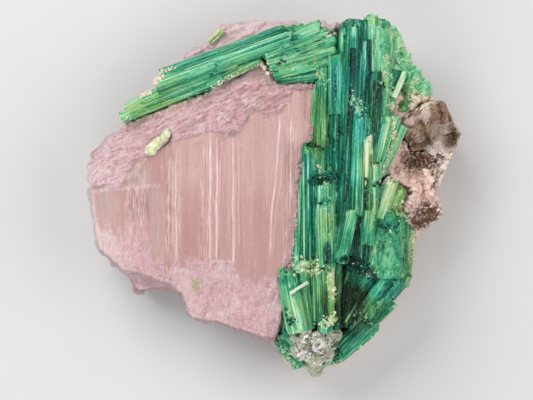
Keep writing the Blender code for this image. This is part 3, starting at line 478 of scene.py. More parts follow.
class Finish:
    """One material, and the nodes that make its pattern."""

    def __init__(self, name):
        self.material = bpy.data.materials.new(name)
        self.material.use_nodes = True
        self.tree = self.material.node_tree
        self.shader = self.tree.nodes["Principled BSDF"]
        self.output = self.tree.nodes["Material Output"]

    def feed(self, socket, value):
        value = value.socket if isinstance(value, Value) else value
        if isinstance(value, bpy.types.NodeSocket):
            self.tree.links.new(value, socket)
        elif hasattr(value, "__len__") and len(value) == 3 and socket.type == "RGBA":
            socket.default_value = (*value, 1.0)
        else:
            socket.default_value = value

    def node(self, kind, settings, inputs):
        made = self.tree.nodes.new(kind)
        for key, value in settings.items():
            setattr(made, key, value)
        for key, value in inputs.items():
            self.feed(made.inputs[key], value)
        return made

    def place(self):
        """Where a point lies, in millimetres in the specimen's own frame."""
        found = self.tree.nodes.new("ShaderNodeTexCoord").outputs["Object"]
        settings = {"operation": "MULTIPLY_ADD"}
        inputs = {0: found, 1: (1.0 / MM,) * 3, 2: tuple(CENTRE)}
        return self.node("ShaderNodeVectorMath", settings, inputs).outputs[0]

    def grain(self):
        """Where a point lies in its own crystal, in millimetres, with Z along the crystal."""
        return self.node("ShaderNodeAttribute", {"attribute_name": "grain"}, {}).outputs["Vector"]

    def measure(self, name):
        made = self.node("ShaderNodeAttribute", {"attribute_name": name}, {})
        return Value(self, made.outputs["Fac"])

    def stretched(self, vector, scales):
        settings = {"operation": "MULTIPLY"}
        return self.node("ShaderNodeVectorMath", settings, {0: vector, 1: scales}).outputs[0]

    def turned(self, vector, angle):
        settings = {"rotation_type": "Z_AXIS"}
        return self.node("ShaderNodeVectorRotate", settings, {"Vector": vector, "Angle": angle}).outputs[0]

    def parts(self, vector):
        made = self.node("ShaderNodeSeparateXYZ", {}, {0: vector})
        return [Value(self, socket) for socket in made.outputs]

    def clouds(self, vector, scale, detail=3.0, rough=0.55, bend=0.0):
        inputs = {"Vector": vector, "Scale": scale, "Detail": detail, "Roughness": rough,
                  "Distortion": bend}
        return Value(self, self.node("ShaderNodeTexNoise", {}, inputs).outputs[0])

    def cells(self, vector, scale, feature="F1"):
        inputs = {"Vector": vector, "Scale": scale}
        return Value(self, self.node("ShaderNodeTexVoronoi", {"feature": feature}, inputs).outputs[0])

    def spot(self, x, y, middle, half, ragged):
        """1 in the middle of a spot with a ragged edge, and 0 outside it."""
        across, up = (x - middle[0]) * (1.0 / half[0]), (y - middle[1]) * (1.0 / half[1])
        return (across * across + up * up + ragged).between(1.5, 0.4)

    def ramp(self, value, stops):
        made = self.node("ShaderNodeValToRGB", {}, {"Fac": value})
        points = made.color_ramp.elements
        while len(points) < len(stops):
            points.new(1.0)
        for point, (position, colour) in zip(points, stops):
            point.position = position
            point.color = (*colour, 1.0)
        return made.outputs["Color"]

    def mix(self, share, first, second, how="MIX"):
        settings = {"data_type": "RGBA", "blend_type": how}
        made = self.node("ShaderNodeMix", settings, {0: share, 6: first, 7: second})
        return made.outputs[2]

    def raised(self, height, strength, distance):
        inputs = {"Height": height, "Strength": strength, "Distance": distance * MM}
        return self.node("ShaderNodeBump", {}, inputs).outputs["Normal"]

    def surface(self, **values):
        for name, value in values.items():
            self.feed(self.shader.inputs[name.replace("_", " ").title().replace("Ior", "IOR")], value)
        return self.material


def started(name):
    """A node's solid with its corners merged, in millimetres in the specimen's own frame."""
    shape = bmesh.new()
    shape.from_mesh(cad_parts[name].data)
    bmesh.ops.remove_doubles(shape, verts=shape.verts, dist=1e-6)
    bmesh.ops.scale(shape, verts=shape.verts, vec=(1.0 / MM,) * 3)
    bmesh.ops.translate(shape, verts=shape.verts, vec=CENTRE)
    return shape


def remeshed(shape, cell):
    """The same solid with an even skin of small faces."""
    mesh = bpy.data.meshes.new("rough")
    shape.to_mesh(mesh)
    shape.free()
    obj = bpy.data.objects.new("rough", mesh)
    bpy.context.scene.collection.objects.link(obj)
    modifier = obj.modifiers.new("remesh", "REMESH")
    modifier.mode = "VOXEL"
    modifier.voxel_size = cell
    graph = bpy.context.evaluated_depsgraph_get()
    even = bpy.data.meshes.new_from_object(obj.evaluated_get(graph))
    bpy.data.objects.remove(obj)
    bpy.data.meshes.remove(mesh)
    shape = bmesh.new()
    shape.from_mesh(even)
    bpy.data.meshes.remove(even)
    return shape


def piece(name, shape, material, nodes, smooth):
    """A finished piece of the specimen, which stands for its nodes."""
    bmesh.ops.translate(shape, verts=shape.verts, vec=-CENTRE)
    bmesh.ops.scale(shape, verts=shape.verts, vec=(MM,) * 3)
    for face in shape.faces:
        face.smooth = smooth
    mesh = bpy.data.meshes.new(name)
    shape.to_mesh(mesh)
    shape.free()
    mesh.materials.append(material)
    obj = bpy.data.objects.new(name, mesh)
    bpy.context.scene.collection.objects.link(obj)
    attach(obj, "root")
    if nodes:
        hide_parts(*nodes)
    return obj


def joined(shapes):
    """One shape from several, which it uses up."""
    whole = bmesh.new()
    for shape in shapes:
        mesh = bpy.data.meshes.new("part")
        shape.to_mesh(mesh)
        shape.free()
        whole.from_mesh(mesh)
        bpy.data.meshes.remove(mesh)
    return whole


def ground(names):
    """The surface of finished pieces, in millimetres in the specimen's own frame."""
    whole = bmesh.new()
    for name in names:
        whole.from_mesh(bpy.data.objects[name].data)
    bmesh.ops.scale(whole, verts=whole.verts, vec=(1.0 / MM,) * 3)
    bmesh.ops.translate(whole, verts=whole.verts, vec=CENTRE)
    tree = BVHTree.FromBMesh(whole)
    whole.free()
    return tree


# Kunzite


def slanted(x, y):
    """Distances along the flakes and across them."""
    across = y * math.cos(FLAKE_TURN) - x * math.sin(FLAKE_TURN)
    return x * math.cos(FLAKE_TURN) + y * math.sin(FLAKE_TURN), across


def flakiness(x, y):
    length, across = slanted(x, y)
    rise = y - along(FLAKE_EDGE, x) + 2.2 * grain_noise(length * 0.4, across, 2.0, 2.4)
    return smoothly(-1.2, 1.5, rise)


def sugariness(x, y):
    fall = along(SUGAR_EDGE, x) - y + 3.4 * grain_noise(x, 0.3 * y, 8.0, 2.4)
    return smoothly(-1.6, 2.8, fall)


def cleavage(x):
    height = CLEAVAGE[0][1]
    for (edge, before), (_, after) in zip(CLEAVAGE, CLEAVAGE[1:]):
        soft = 0.3 if after > before else 2.0
        height += (after - before) * smoothly(edge - soft, edge + soft, x)
    return height


def kunzite_height(x, y, flaky, sugary):
    """Height of the kunzite's face with its streaks, flakes and grains."""
    rise = max(0.0, y - along(RIDGE, x))
    waver = 0.5 * noise.noise(Vector((0.0, y, 3.0)) / 14.0)
    smooth = cleavage(x + waver) * (1.0 - smoothly(0.0, 2.0, rise))
    smooth += 0.16 * noise.noise(Vector((x * 1.6, y * 0.03, 1.0)))
    smooth += 0.07 * noise.noise(Vector((x * 4.0, y * 0.05, 5.0)))
    height = FACE_Z - min(FLAKE_DROP, FLAKE_SLOPE * rise)
    height -= 0.16 * max(0.0, -14.0 - y) + 0.35 * max(0.0, -41.0 - x)
    height += 0.25 * grain_noise(x, y, 9.0, 7.0)
    length, across = slanted(x, y)
    flakes = 0.7 * grain_noise(length * 0.35, across, 4.0, 4.2)
    flakes += 0.8 * crumpled(length * 0.35, across, 7.0, 2.0) - 0.4
    flakes += 0.35 * crumpled(length * 0.6, across, 2.0, 0.9)
    sugar = 0.5 * grain_noise(x, y * 0.7, 6.0, 3.0) + 0.45 * crumpled(x, y * 0.6, 1.0, 1.4)
    sugar += 0.25 * crumpled(x, y, 4.0, 0.8) - 0.2
    height += smooth * (1.0 - 0.7 * sugary)
    return height + flakes * flaky + sugar * sugary


def kunzite_shape(cell):
    shape = remeshed(started("kunzite"), cell)
    for _ in range(2):
        bmesh.ops.smooth_vert(
            shape, verts=shape.verts, factor=0.5, use_axis_x=True, use_axis_y=True, use_axis_z=True
        )
    shape.normal_update()
    flaky_layer = shape.verts.layers.float.new("flaky")
    sugary_layer = shape.verts.layers.float.new("sugary")
    shaded_ledge_layer = shape.verts.layers.float.new("ledge")
    moves = []
    for vert in shape.verts:
        x, y, z = vert.co
        facing = vert.normal.z
        flaky, sugary = flakiness(x, y), sugariness(x, y)
        height = kunzite_height(x, y, flaky, sugary)
        top = smoothly(0.2, 0.6, facing) * smoothly(3.4, 2.2, abs(height - z))
        side = (1.0 - top) * smoothly(0.1, 1.2, z)
        rough = 0.9 * grain_noise(x, y * 0.6, z * 1.3, 5.0) + 0.7 * crumpled(x, y * 0.5, z, 2.6)
        rough += 0.3 * crumpled(x, y, z * 1.5, 1.0) - 0.8
        layer = z / 3.2 + 0.5 * noise.noise(vert.co / 9.0)
        rough += 0.7 * (smoothly(0.0, 0.25, layer % 1.0) - layer % 1.0)
        moves.append(Vector((0.0, 0.0, (height - z) * top)) + vert.normal * rough * side)
        vert[flaky_layer] = max(flaky, (1.0 - top) * 0.5)
        vert[sugary_layer] = max(sugary, (1.0 - top) * 0.8)
        # The ledge below the slab's step lies in shade; the finish lightens its colour there as painted light.
        vert[shaded_ledge_layer] = smoothly(0.3, 0.8, facing) * smoothly(12.0, 13.0, z) * smoothly(19.0, 16.0, z)
    for vert, move in zip(shape.verts, moves):
        vert.co += move
    return shape


def seam_grains(draw):
    """Pink grains that close the seams between the kunzite and the tourmaline."""
    for number in range(800):
        line, rise = (BAND_SEAM, 0.2) if number % 3 == 0 else (SEAM, -0.9)
        place = point_on(line, draw.random())
        x, y = place.x + draw.gauss(0.0, 0.3), place.y + draw.gauss(0.0, 0.3)
        height = kunzite_height(x, y, 0.0, 1.0) + draw.uniform(-0.4, rise)
        grain = crumb(Vector((x, y, height)), draw.uniform(0.35, 0.65), draw)
        flaky_layer = grain.verts.layers.float.new("flaky")
        sugary_layer = grain.verts.layers.float.new("sugary")
        for vert in grain.verts:
            vert[flaky_layer] = 0.2
            vert[sugary_layer] = 1.0
        yield grain


def kunzite_finish(settings):
    finish = Finish("pink_kunzite")
    place = finish.place()
    x, y, z = finish.parts(place)
    upright = finish.stretched(place, (1.0, 0.03, 0.3))
    panels = finish.clouds(upright, 0.2, 2.0)
    scratches = finish.clouds(upright, 2.4, 5.0, 0.75)
    hairs = finish.clouds(finish.stretched(place, (1.0, 0.05, 0.3)), 5.0, 3.0)
    broad = finish.clouds(place, 0.12, 2.0)
    patches = finish.clouds(finish.stretched(place, (1.0, 0.25, 1.0)), 1.1, 5.0, 0.75)
    speckle = finish.clouds(place, 1.5, 5.0, 0.8)
    sparks = finish.clouds(finish.stretched(place, (1.0, 0.6, 1.0)), 2.0, 4.0, 0.8)
    busy = finish.clouds(finish.stretched(place, (1.0, 0.12, 0.3)), 0.3, 3.0).between(0.4, 0.6)
    slant = finish.turned(place, -FLAKE_TURN)
    crinkle = finish.clouds(finish.stretched(slant, (0.3, 1.4, 1.0)), 0.9, 6.0, 0.8)
    wisps = finish.clouds(finish.stretched(slant, (0.25, 1.0, 1.0)), 2.1, 5.0, 0.75)
    waver = finish.clouds(finish.stretched(place, (0.05, 1.0, 0.0)), 0.12, 3.0) - 0.5
    across = x + waver * 0.9
    flaky, sugary = finish.measure("flaky"), finish.measure("sugary")
    edge = (wisps - 0.5) * 2.2 + (crinkle - 0.5) * 1.6
    flaky = (flaky + edge).between(0.1, 0.9) * flaky.between(0.0, 0.25)
    sugary = (sugary + (patches - 0.5) * 1.8).between(0.1, 0.9) * sugary.between(0.0, 0.25)
    smooth = (1.0 - flaky) * (1.0 - sugary)

    # The white streaks and combs: cleavage cracks whose brightness is partly painted reflection.
    streaks_and_glints = scratches.between(0.5, 0.68) * (0.1 + busy * 0.35)
    broken = patches.between(0.36, 0.54) * 0.5 + hairs.between(0.38, 0.58) * 0.5
    for left, right, strength in COMBS:
        comb = hairs.between(0.46, 0.6) * patches.between(0.36, 0.54)
        streaks_and_glints = streaks_and_glints.most(comb * x.within(left, right, 0.9) * strength)
    for top_x, foot_x, top_y, foot_y, width, strength in STREAKS:
        middle = foot_x + (top_x - foot_x) * y.between(foot_y, top_y) if top_x != foot_x else foot_x
        nearness = 1.0 - (across - middle).size().between(width * 0.6, width * 2.0)
        reach = y.within(foot_y, top_y, 2.0)
        streaks_and_glints = streaks_and_glints.most(nearness * reach * strength * (broken * 0.8 + 0.3))
    face = finish.mix(panels.between(0.44, 0.56), settings.face, settings.blush)
    pearly = finish.clouds(upright, 0.35, 2.0)
    face = finish.mix(pearly.between(0.5, 0.62) * 0.5, face, (0.62, 0.42, 0.39))
    low = y.between(8.0, -12.0) * x.between(-30.0, -22.0)
    face = finish.mix(low * 0.6, face, settings.blush)
    deep = x.within(-23.4, -18.0, 0.6) * y.between(6.0, -8.0)
    deep = deep.most(x.within(2.4, 5.8, 0.5) * y.within(-4.0, 14.0, 3.0) * 0.8)
    face = finish.mix(deep * 0.7, face, (0.44, 0.225, 0.205))
    light = x.within(-9.0, 0.8, 0.8) * y.within(2.0, 26.0, 4.0)
    face = finish.mix(light * 0.4, face, (0.60, 0.42, 0.38))
    grey = finish.spot(x, y, (-33.6, 5.4), (3.4, 2.8), (patches - 0.5) * 7.0)
    grey = grey.most(finish.spot(x, y, (-42.2, -2.8), (3.4, 4.2), (patches - 0.5) * 7.0))
    grey = grey.most(x.within(-31.2, -27.2, 0.7) * y.within(-19.0, 2.0, 2.0) * 0.7)
    face = finish.mix(grey * 0.7, face, (0.52, 0.39, 0.37))
    face = finish.mix(scratches.between(0.5, 0.34) * (0.2 + busy * 0.4), face, (0.36, 0.20, 0.185))
    face = finish.mix(speckle.between(0.54, 0.4) * 0.2, face, (0.38, 0.22, 0.21))
    # Painted shade: dark lines down the grooves near the left edge and in two narrow bands.
    groove_shade = x.within(-36.8, -31.0, 0.5) * y.within(-5.6, 2.4, 1.0)
    groove_shade = groove_shade.most(x.within(-27.0, -25.0, 0.5) * 0.5).most(x.within(-17.2, -13.0, 0.5) * 0.4)
    face = finish.mix(hairs.between(0.5, 0.4) * groove_shade * 0.8, face, (0.27, 0.16, 0.15))
    # Painted shade of a line of small pits.
    pit_shade = finish.spot(x, y, (7.7, 22.8), (0.35, 3.2), (speckle - 0.5) * 5.0)
    face = finish.mix(pit_shade * 0.7, face, (0.25, 0.13, 0.12))

    flakes = finish.mix(crinkle.between(0.53, 0.38) * 0.85, settings.flakes, (0.42, 0.20, 0.255))
    flakes = finish.mix(wisps.between(0.48, 0.36) * 0.6, flakes, (0.30, 0.13, 0.18))
    flakes = finish.mix(broad.between(0.45, 0.6) * 0.4, flakes, (0.66, 0.41, 0.40))
    pale = x.between(-33.0, -42.0) * y.between(2.0, -6.0)
    # Painted light: the pink strip just above the band is lightened against the shade that the band throws on
    # it.
    band_shadow_lift = y.between(27.0, 33.0)
    flakes = finish.mix(band_shadow_lift * 0.8, flakes, (1.0, 0.74, 0.76))
    # Whitish frost on the flakes near the left edge, partly painted glints.
    frosted_glints = x.between(-34.0, -43.0) * wisps.between(0.4, 0.56)
    flakes = finish.mix(frosted_glints * 0.6, flakes, (0.98, 0.78, 0.82))
    dusky = x.between(-14.0, -4.0) * y.between(33.0, 29.0)
    flakes = finish.mix(dusky, flakes, (0.9, 0.8, 0.8), "MULTIPLY")
    sugar = finish.mix(speckle.between(0.55, 0.38) * 0.7, settings.sugar, (0.48, 0.25, 0.28))
    sugar = finish.mix(hairs.between(0.5, 0.36) * 0.35, sugar, (0.44, 0.22, 0.25))
    sugar = finish.mix((pale * 0.6).most(broad.between(0.5, 0.62) * 0.3), sugar, (0.90, 0.70, 0.69))
    colour = finish.mix(flaky, face, flakes)
    colour = finish.mix(sugary * (1.0 - flaky * 0.6), colour, sugar)
    # Painted light: the low ledge lies in the shadow of the slab, so its colour is lifted above its own pink
    # and its speckle is redrawn in a light pink.
    ledge = finish.measure("ledge") * y.between(-13.0, -17.0) * x.between(-23.0, -26.0)
    colour = finish.mix(ledge * 0.9, colour, (1.6, 1.06, 1.15))
    colour = finish.mix(ledge * speckle.between(0.53, 0.4) * 0.5, colour, (1.0, 0.62, 0.70))
    # Painted glints on the flakes and the grains, and faint ones on the smooth face.
    glints = wisps.between(0.51, 0.6) * flaky + sparks.between(0.52, 0.6) * sugary
    glints = glints + sparks.between(0.56, 0.66) * smooth * 0.3
    # Painted highlights: bright broken lines along the step below the flaky zone, along a low step on the
    # face, and down the left edge.
    level = y - x * 0.09 + (patches - 0.5) * 2.4
    rim_highlight = level.within(5.0, 5.7, 0.4) * x.within(-45.0, -28.4, 0.8) * sparks.between(0.4, 0.54)
    level = y + (patches - 0.5) * 2.0
    rim_highlight = rim_highlight.most(level.within(-16.3, -15.8, 0.25) * x.within(-15.2, -9.8, 0.5) * sparks.between(0.38, 0.52))
    edge = (x + y * 0.13 + 46.0).between(1.5, 0.5) * y.within(-18.0, 8.0, 2.0)
    rim_highlight = (rim_highlight * 0.7).most(edge * sparks.between(0.36, 0.52) * 0.7)
    streaks_and_glints = streaks_and_glints * smooth
    colour = finish.mix(streaks_and_glints * 0.95, colour, (0.88, 0.60, 0.56))
    # Painted glints and rim highlights join the white cores of the streaks in one light colour.
    glints_and_frost = (streaks_and_glints.between(0.55, 1.0) * 0.5).most(glints * 0.85).most(rim_highlight * 0.85)
    colour = finish.mix(glints_and_frost, colour, settings.glints_and_frost)
    spot = finish.spot(x, y, (-19.4, -21.9), (1.3, 1.6), (speckle - 0.5) * 9.0)
    colour = finish.mix(spot * 0.7, colour, (0.34, 0.40, 0.14))
    relief = glints_and_frost * 0.5 + streaks_and_glints * 0.3 + scratches * smooth * 0.5
    relief = relief + crinkle * flaky * 1.6 + wisps * flaky * 0.8 + speckle * sugary * 1.3
    return finish.surface(
        base_color=colour,
        roughness=0.3 + (flaky + sugary).least(1.0) * 0.2 - glints_and_frost * 0.1,
        normal=finish.raised(relief, 0.7, 0.5),
        subsurface_weight=0.15,
        subsurface_radius=(1.0, 0.5, 0.5),
        subsurface_scale=0.0012,
        coat_weight=0.12,
        coat_roughness=0.2,
        specular_ior_level=0.4,
        ior=1.66,
    )


# Tourmaline

RIB_DEPTH = 0.03
# How much paler a crystal is at the painted highlight along each facet edge
EDGE_HIGHLIGHT = 0.16
LUMP_DEPTH = 1.8
# How much paler a lump is at its painted highlight around the rim
LUMP_HIGHLIGHT = 0.26
MARKS = ("tone", "ending", "warm", "sparkle")


def marked(shape):
    """The layers that hold the pattern at each point of a tourmaline."""
    layers = {name: shape.verts.layers.float.new(name) for name in MARKS}
    layers["grain"] = shape.verts.layers.float_vector.new("grain")
    return layers


def mark_place(vert, layers, tone, share):
    """Set what a point's place on the specimen gives to its pattern."""
    x, y, _ = vert.co
    vert[layers["tone"]] = clamped(tone + share * spotted(SHADES, x, y), 0.01, 0.99)
    warmth = spotted(WARMTH, x, y) + 0.5 * grain_noise(x, y, 0.0, 6.0)
    vert[layers["warm"]] = clamped(warmth, -1.0, 1.0)
    vert[layers["sparkle"]] = clamped(spotted(SPARKLES, x, y))


def facets(radius, draw):
    """How far each flat side of a crystal lies from its axis, and which way it faces."""
    count = draw.choice((6, 6, 7, 9))
    turn = math.tau / count
    return [
        (math.pi / 2 + (number + draw.uniform(-0.16, 0.16)) * turn, radius * draw.uniform(0.84, 0.96))
        for number in range(count)
    ]


def reach(angle, sides):
    """How far a crystal's surface lies from its axis at an angle."""
    turns = [(math.cos(angle - facing), distance) for facing, distance in sides]
    return min(distance / turn for turn, distance in turns if turn > 0.4)


def narrowed(shape, face, share, rise):
    """Raise the end face of a prism by one step and narrow it."""
    face = bmesh.ops.extrude_discrete_faces(shape, faces=[face])["faces"][0]
    middle = face.calc_center_median()
    for vert in face.verts:
        vert.co.xy = middle.xy + (vert.co.xy - middle.xy) * share
        vert.co.z += rise
    return face


def crystal_shape(row, sides, draw, ribs, spacing):
    """A striated tourmaline prism, which remembers its own length and tone at every point."""
    foot, tip, radius, end, foot_tone, tip_tone = row
    foot, tip = Vector(foot), Vector(tip)
    axis = tip - foot
    length = axis.length
    shape = bmesh.new()
    bmesh.ops.create_cone(shape, cap_ends=True, segments=ribs, radius1=1.0, radius2=1.0, depth=length)
    upright = [edge for edge in shape.edges if abs(edge.verts[0].co.z - edge.verts[1].co.z) > length / 2]
    cuts = max(2, int(length / spacing))
    bmesh.ops.subdivide_edges(shape, edges=upright, cuts=cuts, use_grid_fill=True)
    depths = [draw.uniform(-RIB_DEPTH, RIB_DEPTH) for _ in range(ribs)]
    tones = [draw.gauss(0.0, 0.03) for _ in range(ribs)]
    side_tones = [draw.gauss(0.0, 0.12) for _ in sides]
    shift = draw.uniform(0.0, 400.0)
    lean = (draw.uniform(-0.35, 0.35), draw.uniform(-0.35, 0.35))
    tone_of = {}
    for vert in shape.verts:
        angle = math.atan2(vert.co.y, vert.co.x)
        rib = round(angle / math.tau * ribs) % ribs
        turns = [abs(math.remainder(angle - facing, math.tau)) for facing, _ in sides]
        nearest = min(turns)
        # Painted highlight: each facet is paler towards its edges.
        rim_highlight = smoothly(0.7, 1.0, nearest * len(sides) / math.pi)
        tone_of[vert] = tones[rib] + side_tones[turns.index(nearest)] + EDGE_HIGHLIGHT * rim_highlight
        share = vert.co.z / length + 0.5
        ledge = noise.cell(Vector((rib // 2 + 0.5, (vert.co.z + 7.3 * (rib // 2)) / 9.0, shift))) - 0.5
        out = reach(angle, sides) * (1.0 + depths[rib] + 0.025 * ledge) * (1.02 - 0.06 * share)
        if end == "massive":
            out *= 1.0 + 0.4 * noise.noise(Vector((vert.co.x * 2.0, vert.co.y * 2.0, vert.co.z / 2.4 + shift)))
        vert.co.xy = (math.cos(angle) * out, math.sin(angle) * out)
    top = max(shape.faces, key=lambda face: face.calc_center_median().z)
    crown = list(top.verts)
    if end == "flat":
        for vert in crown:
            vert.co.z += lean[0] * vert.co.x + lean[1] * vert.co.y
        top = narrowed(shape, top, 0.9, 0.1 * radius)
    if end == "domed":
        for share, rise in ((0.88, 0.2), (0.8, 0.16), (0.6, 0.12)):
            top = narrowed(shape, top, share, rise * radius)
    if end in ("broken", "massive"):
        for vert in crown:
            vert.co.z += 1.4 * lean[0] * vert.co.x + 0.5 * radius * noise.noise(vert.co * 1.3 + foot)
        for share in (0.75, 0.6):
            top = narrowed(shape, top, share, 0.08 * radius)
            for vert in top.verts:
                vert.co.z += 0.5 * radius * noise.noise(vert.co * 1.9 + tip)
    bmesh.ops.triangulate(shape, faces=[face for face in shape.faces if len(face.verts) > 4])
    layers = marked(shape)
    turn = axis.to_track_quat("Z", "Y").to_matrix().to_4x4()
    place = Matrix.Translation((foot + tip) / 2) @ turn
    for vert in shape.verts:
        share = clamped(vert.co.z / length + 0.5)
        tone = foot_tone + (tip_tone - foot_tone) * share + tone_of.get(vert, 0.0)
        near = smoothly(1.4, 0.0, length / 2 - vert.co.z)
        vert[layers["grain"]] = (vert.co.x + shift, vert.co.y, vert.co.z + shift)
        vert[layers["ending"]] = {"broken": near, "massive": 0.7}.get(end, 0.4 * near)
        vert.co = place @ vert.co
        mark_place(vert, layers, tone, 1.0)
    return shape


def beside(row, sides, draw):
    """A thinner crystal that lies half sunk in the side of another."""
    foot, tip, radius, _, foot_tone, tip_tone = row
    foot, tip = Vector(foot), Vector(tip)
    axis = tip - foot
    angle = draw.uniform(-0.2, math.pi + 0.2)
    thin = radius * draw.uniform(0.07, 0.24)
    out = reach(angle, sides) - thin * draw.uniform(0.3, 0.9)
    offset = axis.to_track_quat("Z", "Y") @ Vector((math.cos(angle) * out, math.sin(angle) * out, 0.0))
    low, high = draw.uniform(0.0, 0.06), draw.uniform(0.8, 0.99)
    shade = draw.gauss(0.0, 0.05)
    end = draw.choice(["flat", "flat", "domed", "broken"])
    tones = [clamped(foot_tone + (tip_tone - foot_tone) * share + shade) for share in (low, high)]
    return (foot + offset + axis * low, foot + offset + axis * high, thin, end, *tones)


def grown(rows, needles, draw):
    """The crystals of a spray, each with thin ones along it."""
    for row in rows:
        radius = row[2]
        sides = facets(radius, draw)
        yield crystal_shape(row, sides, draw, ribs=30 if radius > 1.5 else 22, spacing=1.5)
        beset = needles * min(radius / 1.6, 1.8) * (0.2 if row[3] == "massive" else 1.0)
        for _ in range(int(beset)):
            thin = beside(row, sides, draw)
            yield crystal_shape(thin, facets(thin[2], draw), draw, ribs=8, spacing=2.4)


def lowered(row, depth):
    """The same crystal a little further down."""
    foot, tip, radius, end, foot_tone, tip_tone = row
    down = Vector((0.0, 0.0, depth))
    return (Vector(foot) - down, Vector(tip) - down, radius * 1.05, end, foot_tone, tip_tone)


def lump(centre, radius, draw, tone=None, ending=0.5):
    """A rounded lump that reaches down; it carries the pattern of tourmaline if it has a tone."""
    shape = bmesh.new()
    bmesh.ops.create_icosphere(shape, subdivisions=3, radius=radius)
    layers = marked(shape) if tone is not None else None
    shift = Vector((draw.uniform(0.0, 400.0), 0.0, 0.0))
    stretch = draw.uniform(0.8, 1.3)
    for vert in shape.verts:
        # Painted highlight: the sides of a lump are paler than its top.
        rim_highlight = 1.0 - clamped(vert.co.z / radius)
        bulge = 0.4 * noise.noise(vert.co * 1.3 / radius + shift) + 0.2 * noise.noise(vert.co * 1.6 + shift)
        vert.co *= 1.0 + bulge
        vert.co.y *= stretch
        if vert.co.z < 0.0:
            vert.co.z *= LUMP_DEPTH
        if layers:
            vert[layers["grain"]] = vert.co + shift
            vert[layers["ending"]] = ending
        vert.co += centre
        if layers:
            mark_place(vert, layers, tone + LUMP_HIGHLIGHT * rim_highlight, 1.0)
    return shape


def margin_lobes(draw):
    """Lumps along the upper right margin, in rows that overlap."""
    way = Vector((math.cos(0.7), math.sin(0.7), 0.0))
    for layer, count in enumerate((14, 12, 9)):
        for number in range(count):
            share = 0.24 + 0.76 * (number + draw.uniform(0.2, 0.8)) / count
            height = MARGIN_HEIGHTS[0] + (MARGIN_HEIGHTS[1] - MARGIN_HEIGHTS[0]) * share
            radius = draw.uniform(1.2, 1.9) * (1.0 - 0.12 * layer)
            centre = Vector((*point_on(MARGIN, share), height + 0.7 + 0.7 * layer))
            centre -= way * (0.7 * radius + layer * draw.uniform(1.5, 2.1))
            yield lump(centre, radius, draw, draw.uniform(0.58, 0.74))


def spray_bed(name, cell, tone, heading):
    """The mass that a spray stands in, drawn in a little so that its crystals cover it."""
    shape = remeshed(started(name), cell)
    shape.normal_update()
    layers = marked(shape)
    for vert in shape.verts:
        x, y, z = vert.co
        depth = 0.16 + 0.3 * crumpled(x, y, z, 1.6)
        ahead = x * math.cos(heading) + y * math.sin(heading)
        across = y * math.cos(heading) - x * math.sin(heading)
        vert[layers["grain"]] = (across, z, ahead)
        mark_place(vert, layers, tone + 0.12 * grain_noise(x, y, z, 3.0), 1.0)
        vert.co -= vert.normal * depth
    return shape


def tourmaline_finish():
    finish = Finish("striated_tourmaline")
    grain = finish.grain()
    tone, ending = finish.measure("tone"), finish.measure("ending")
    warm, sparkle = finish.measure("warm"), finish.measure("sparkle")
    glassy = 1.0 - ending
    bands = finish.clouds(finish.stretched(grain, (1.0, 1.0, 0.05)), 0.7, 2.0, 0.5)
    streaks = finish.clouds(finish.stretched(grain, (1.0, 1.0, 0.03)), 1.5, 4.0, 0.6)
    threads = finish.clouds(finish.stretched(grain, (1.0, 1.0, 0.015)), 3.4, 3.0, 0.6)
    mottle = finish.clouds(finish.stretched(grain, (1.0, 1.0, 0.55)), 1.3, 6.0, 0.75, 0.6)
    pools = finish.clouds(finish.stretched(grain, (1.0, 1.0, 0.35)), 0.4, 2.0, 0.5)
    shade = tone + (bands - 0.5) * 0.9 + (pools - 0.5) * 0.5
    shade = shade + (streaks - 0.5) * (glassy * 0.9 + 0.1) + (threads - 0.5) * glassy * 0.3
    shade = shade + (mottle - 0.5) * (0.35 + ending * 0.8)
    cool = (0.0 - warm).most(0.0)
    colour = finish.mix(cool, finish.ramp(shade, TONES), finish.ramp(shade, COOL_TONES))
    colour = finish.mix(warm.most(0.0), colour, finish.ramp(shade, WARM_TONES))
    flecks = finish.clouds(grain, 2.4, 4.0, 0.7).between(0.52, 0.6)
    colour = finish.mix(flecks * ending * 0.6, colour, (0.004, 0.03, 0.02))
    # Painted highlights: thin glint lines along the crystals and twinkles, with a pale haze in the mottle that
    # is the crystals' own cloudiness, all in a teal over dark tones and a mint white over pale ones.
    streaks_and_glints = threads.between(0.56, 0.64) * pools.between(0.4, 0.54) * glassy
    glint_colour = finish.mix(shade.between(0.2, 0.6), (0.05, 0.56, 0.42), (0.60, 0.92, 0.72))
    haze_and_glints = (mottle.between(0.58, 0.74) * 0.2 + streaks_and_glints * 0.75) * shade.between(0.06, 0.3)
    colour = finish.mix(haze_and_glints, colour, glint_colour)
    glints = finish.clouds(finish.stretched(grain, (1.0, 1.0, 0.5)), 2.4, 4.0, 0.8)
    twinkles = glints.between(0.57, 0.63)
    colour = finish.mix(twinkles * 0.45, colour, glint_colour)
    colour = finish.mix(twinkles * sparkle, colour, (0.84, 0.95, 0.88))
    relief = threads * glassy + streaks * 0.4 + mottle * (0.6 + ending) + flecks * ending
    return finish.surface(
        base_color=colour,
        roughness=0.16 + ending * 0.2 + mottle.between(0.45, 0.75) * 0.2,
        normal=finish.raised(relief, 0.4, 0.3),
        coat_weight=0.04,
        coat_roughness=0.08,
        specular_ior_level=0.14,
        subsurface_weight=0.12,
        subsurface_radius=(0.3, 1.0, 0.6),
        subsurface_scale=0.0012,
        ior=1.63,
    )


# Grains and crusts


def random_turn(draw):
    turn = Quaternion([draw.gauss(0.0, 1.0) for _ in range(4)])
    return turn.normalized().to_matrix().to_4x4()


def grained(shape, centre, draw, tone):
    """Put a grain in its place; it carries the pattern of tourmaline if it has a tone."""
    layers = marked(shape) if tone is not None else None
    place = Matrix.Translation(centre) @ random_turn(draw)
    for vert in shape.verts:
        vert.co = place @ vert.co
        if layers:
            vert[layers["grain"]] = vert.co
            mark_place(vert, layers, tone, 0.0)
    return shape


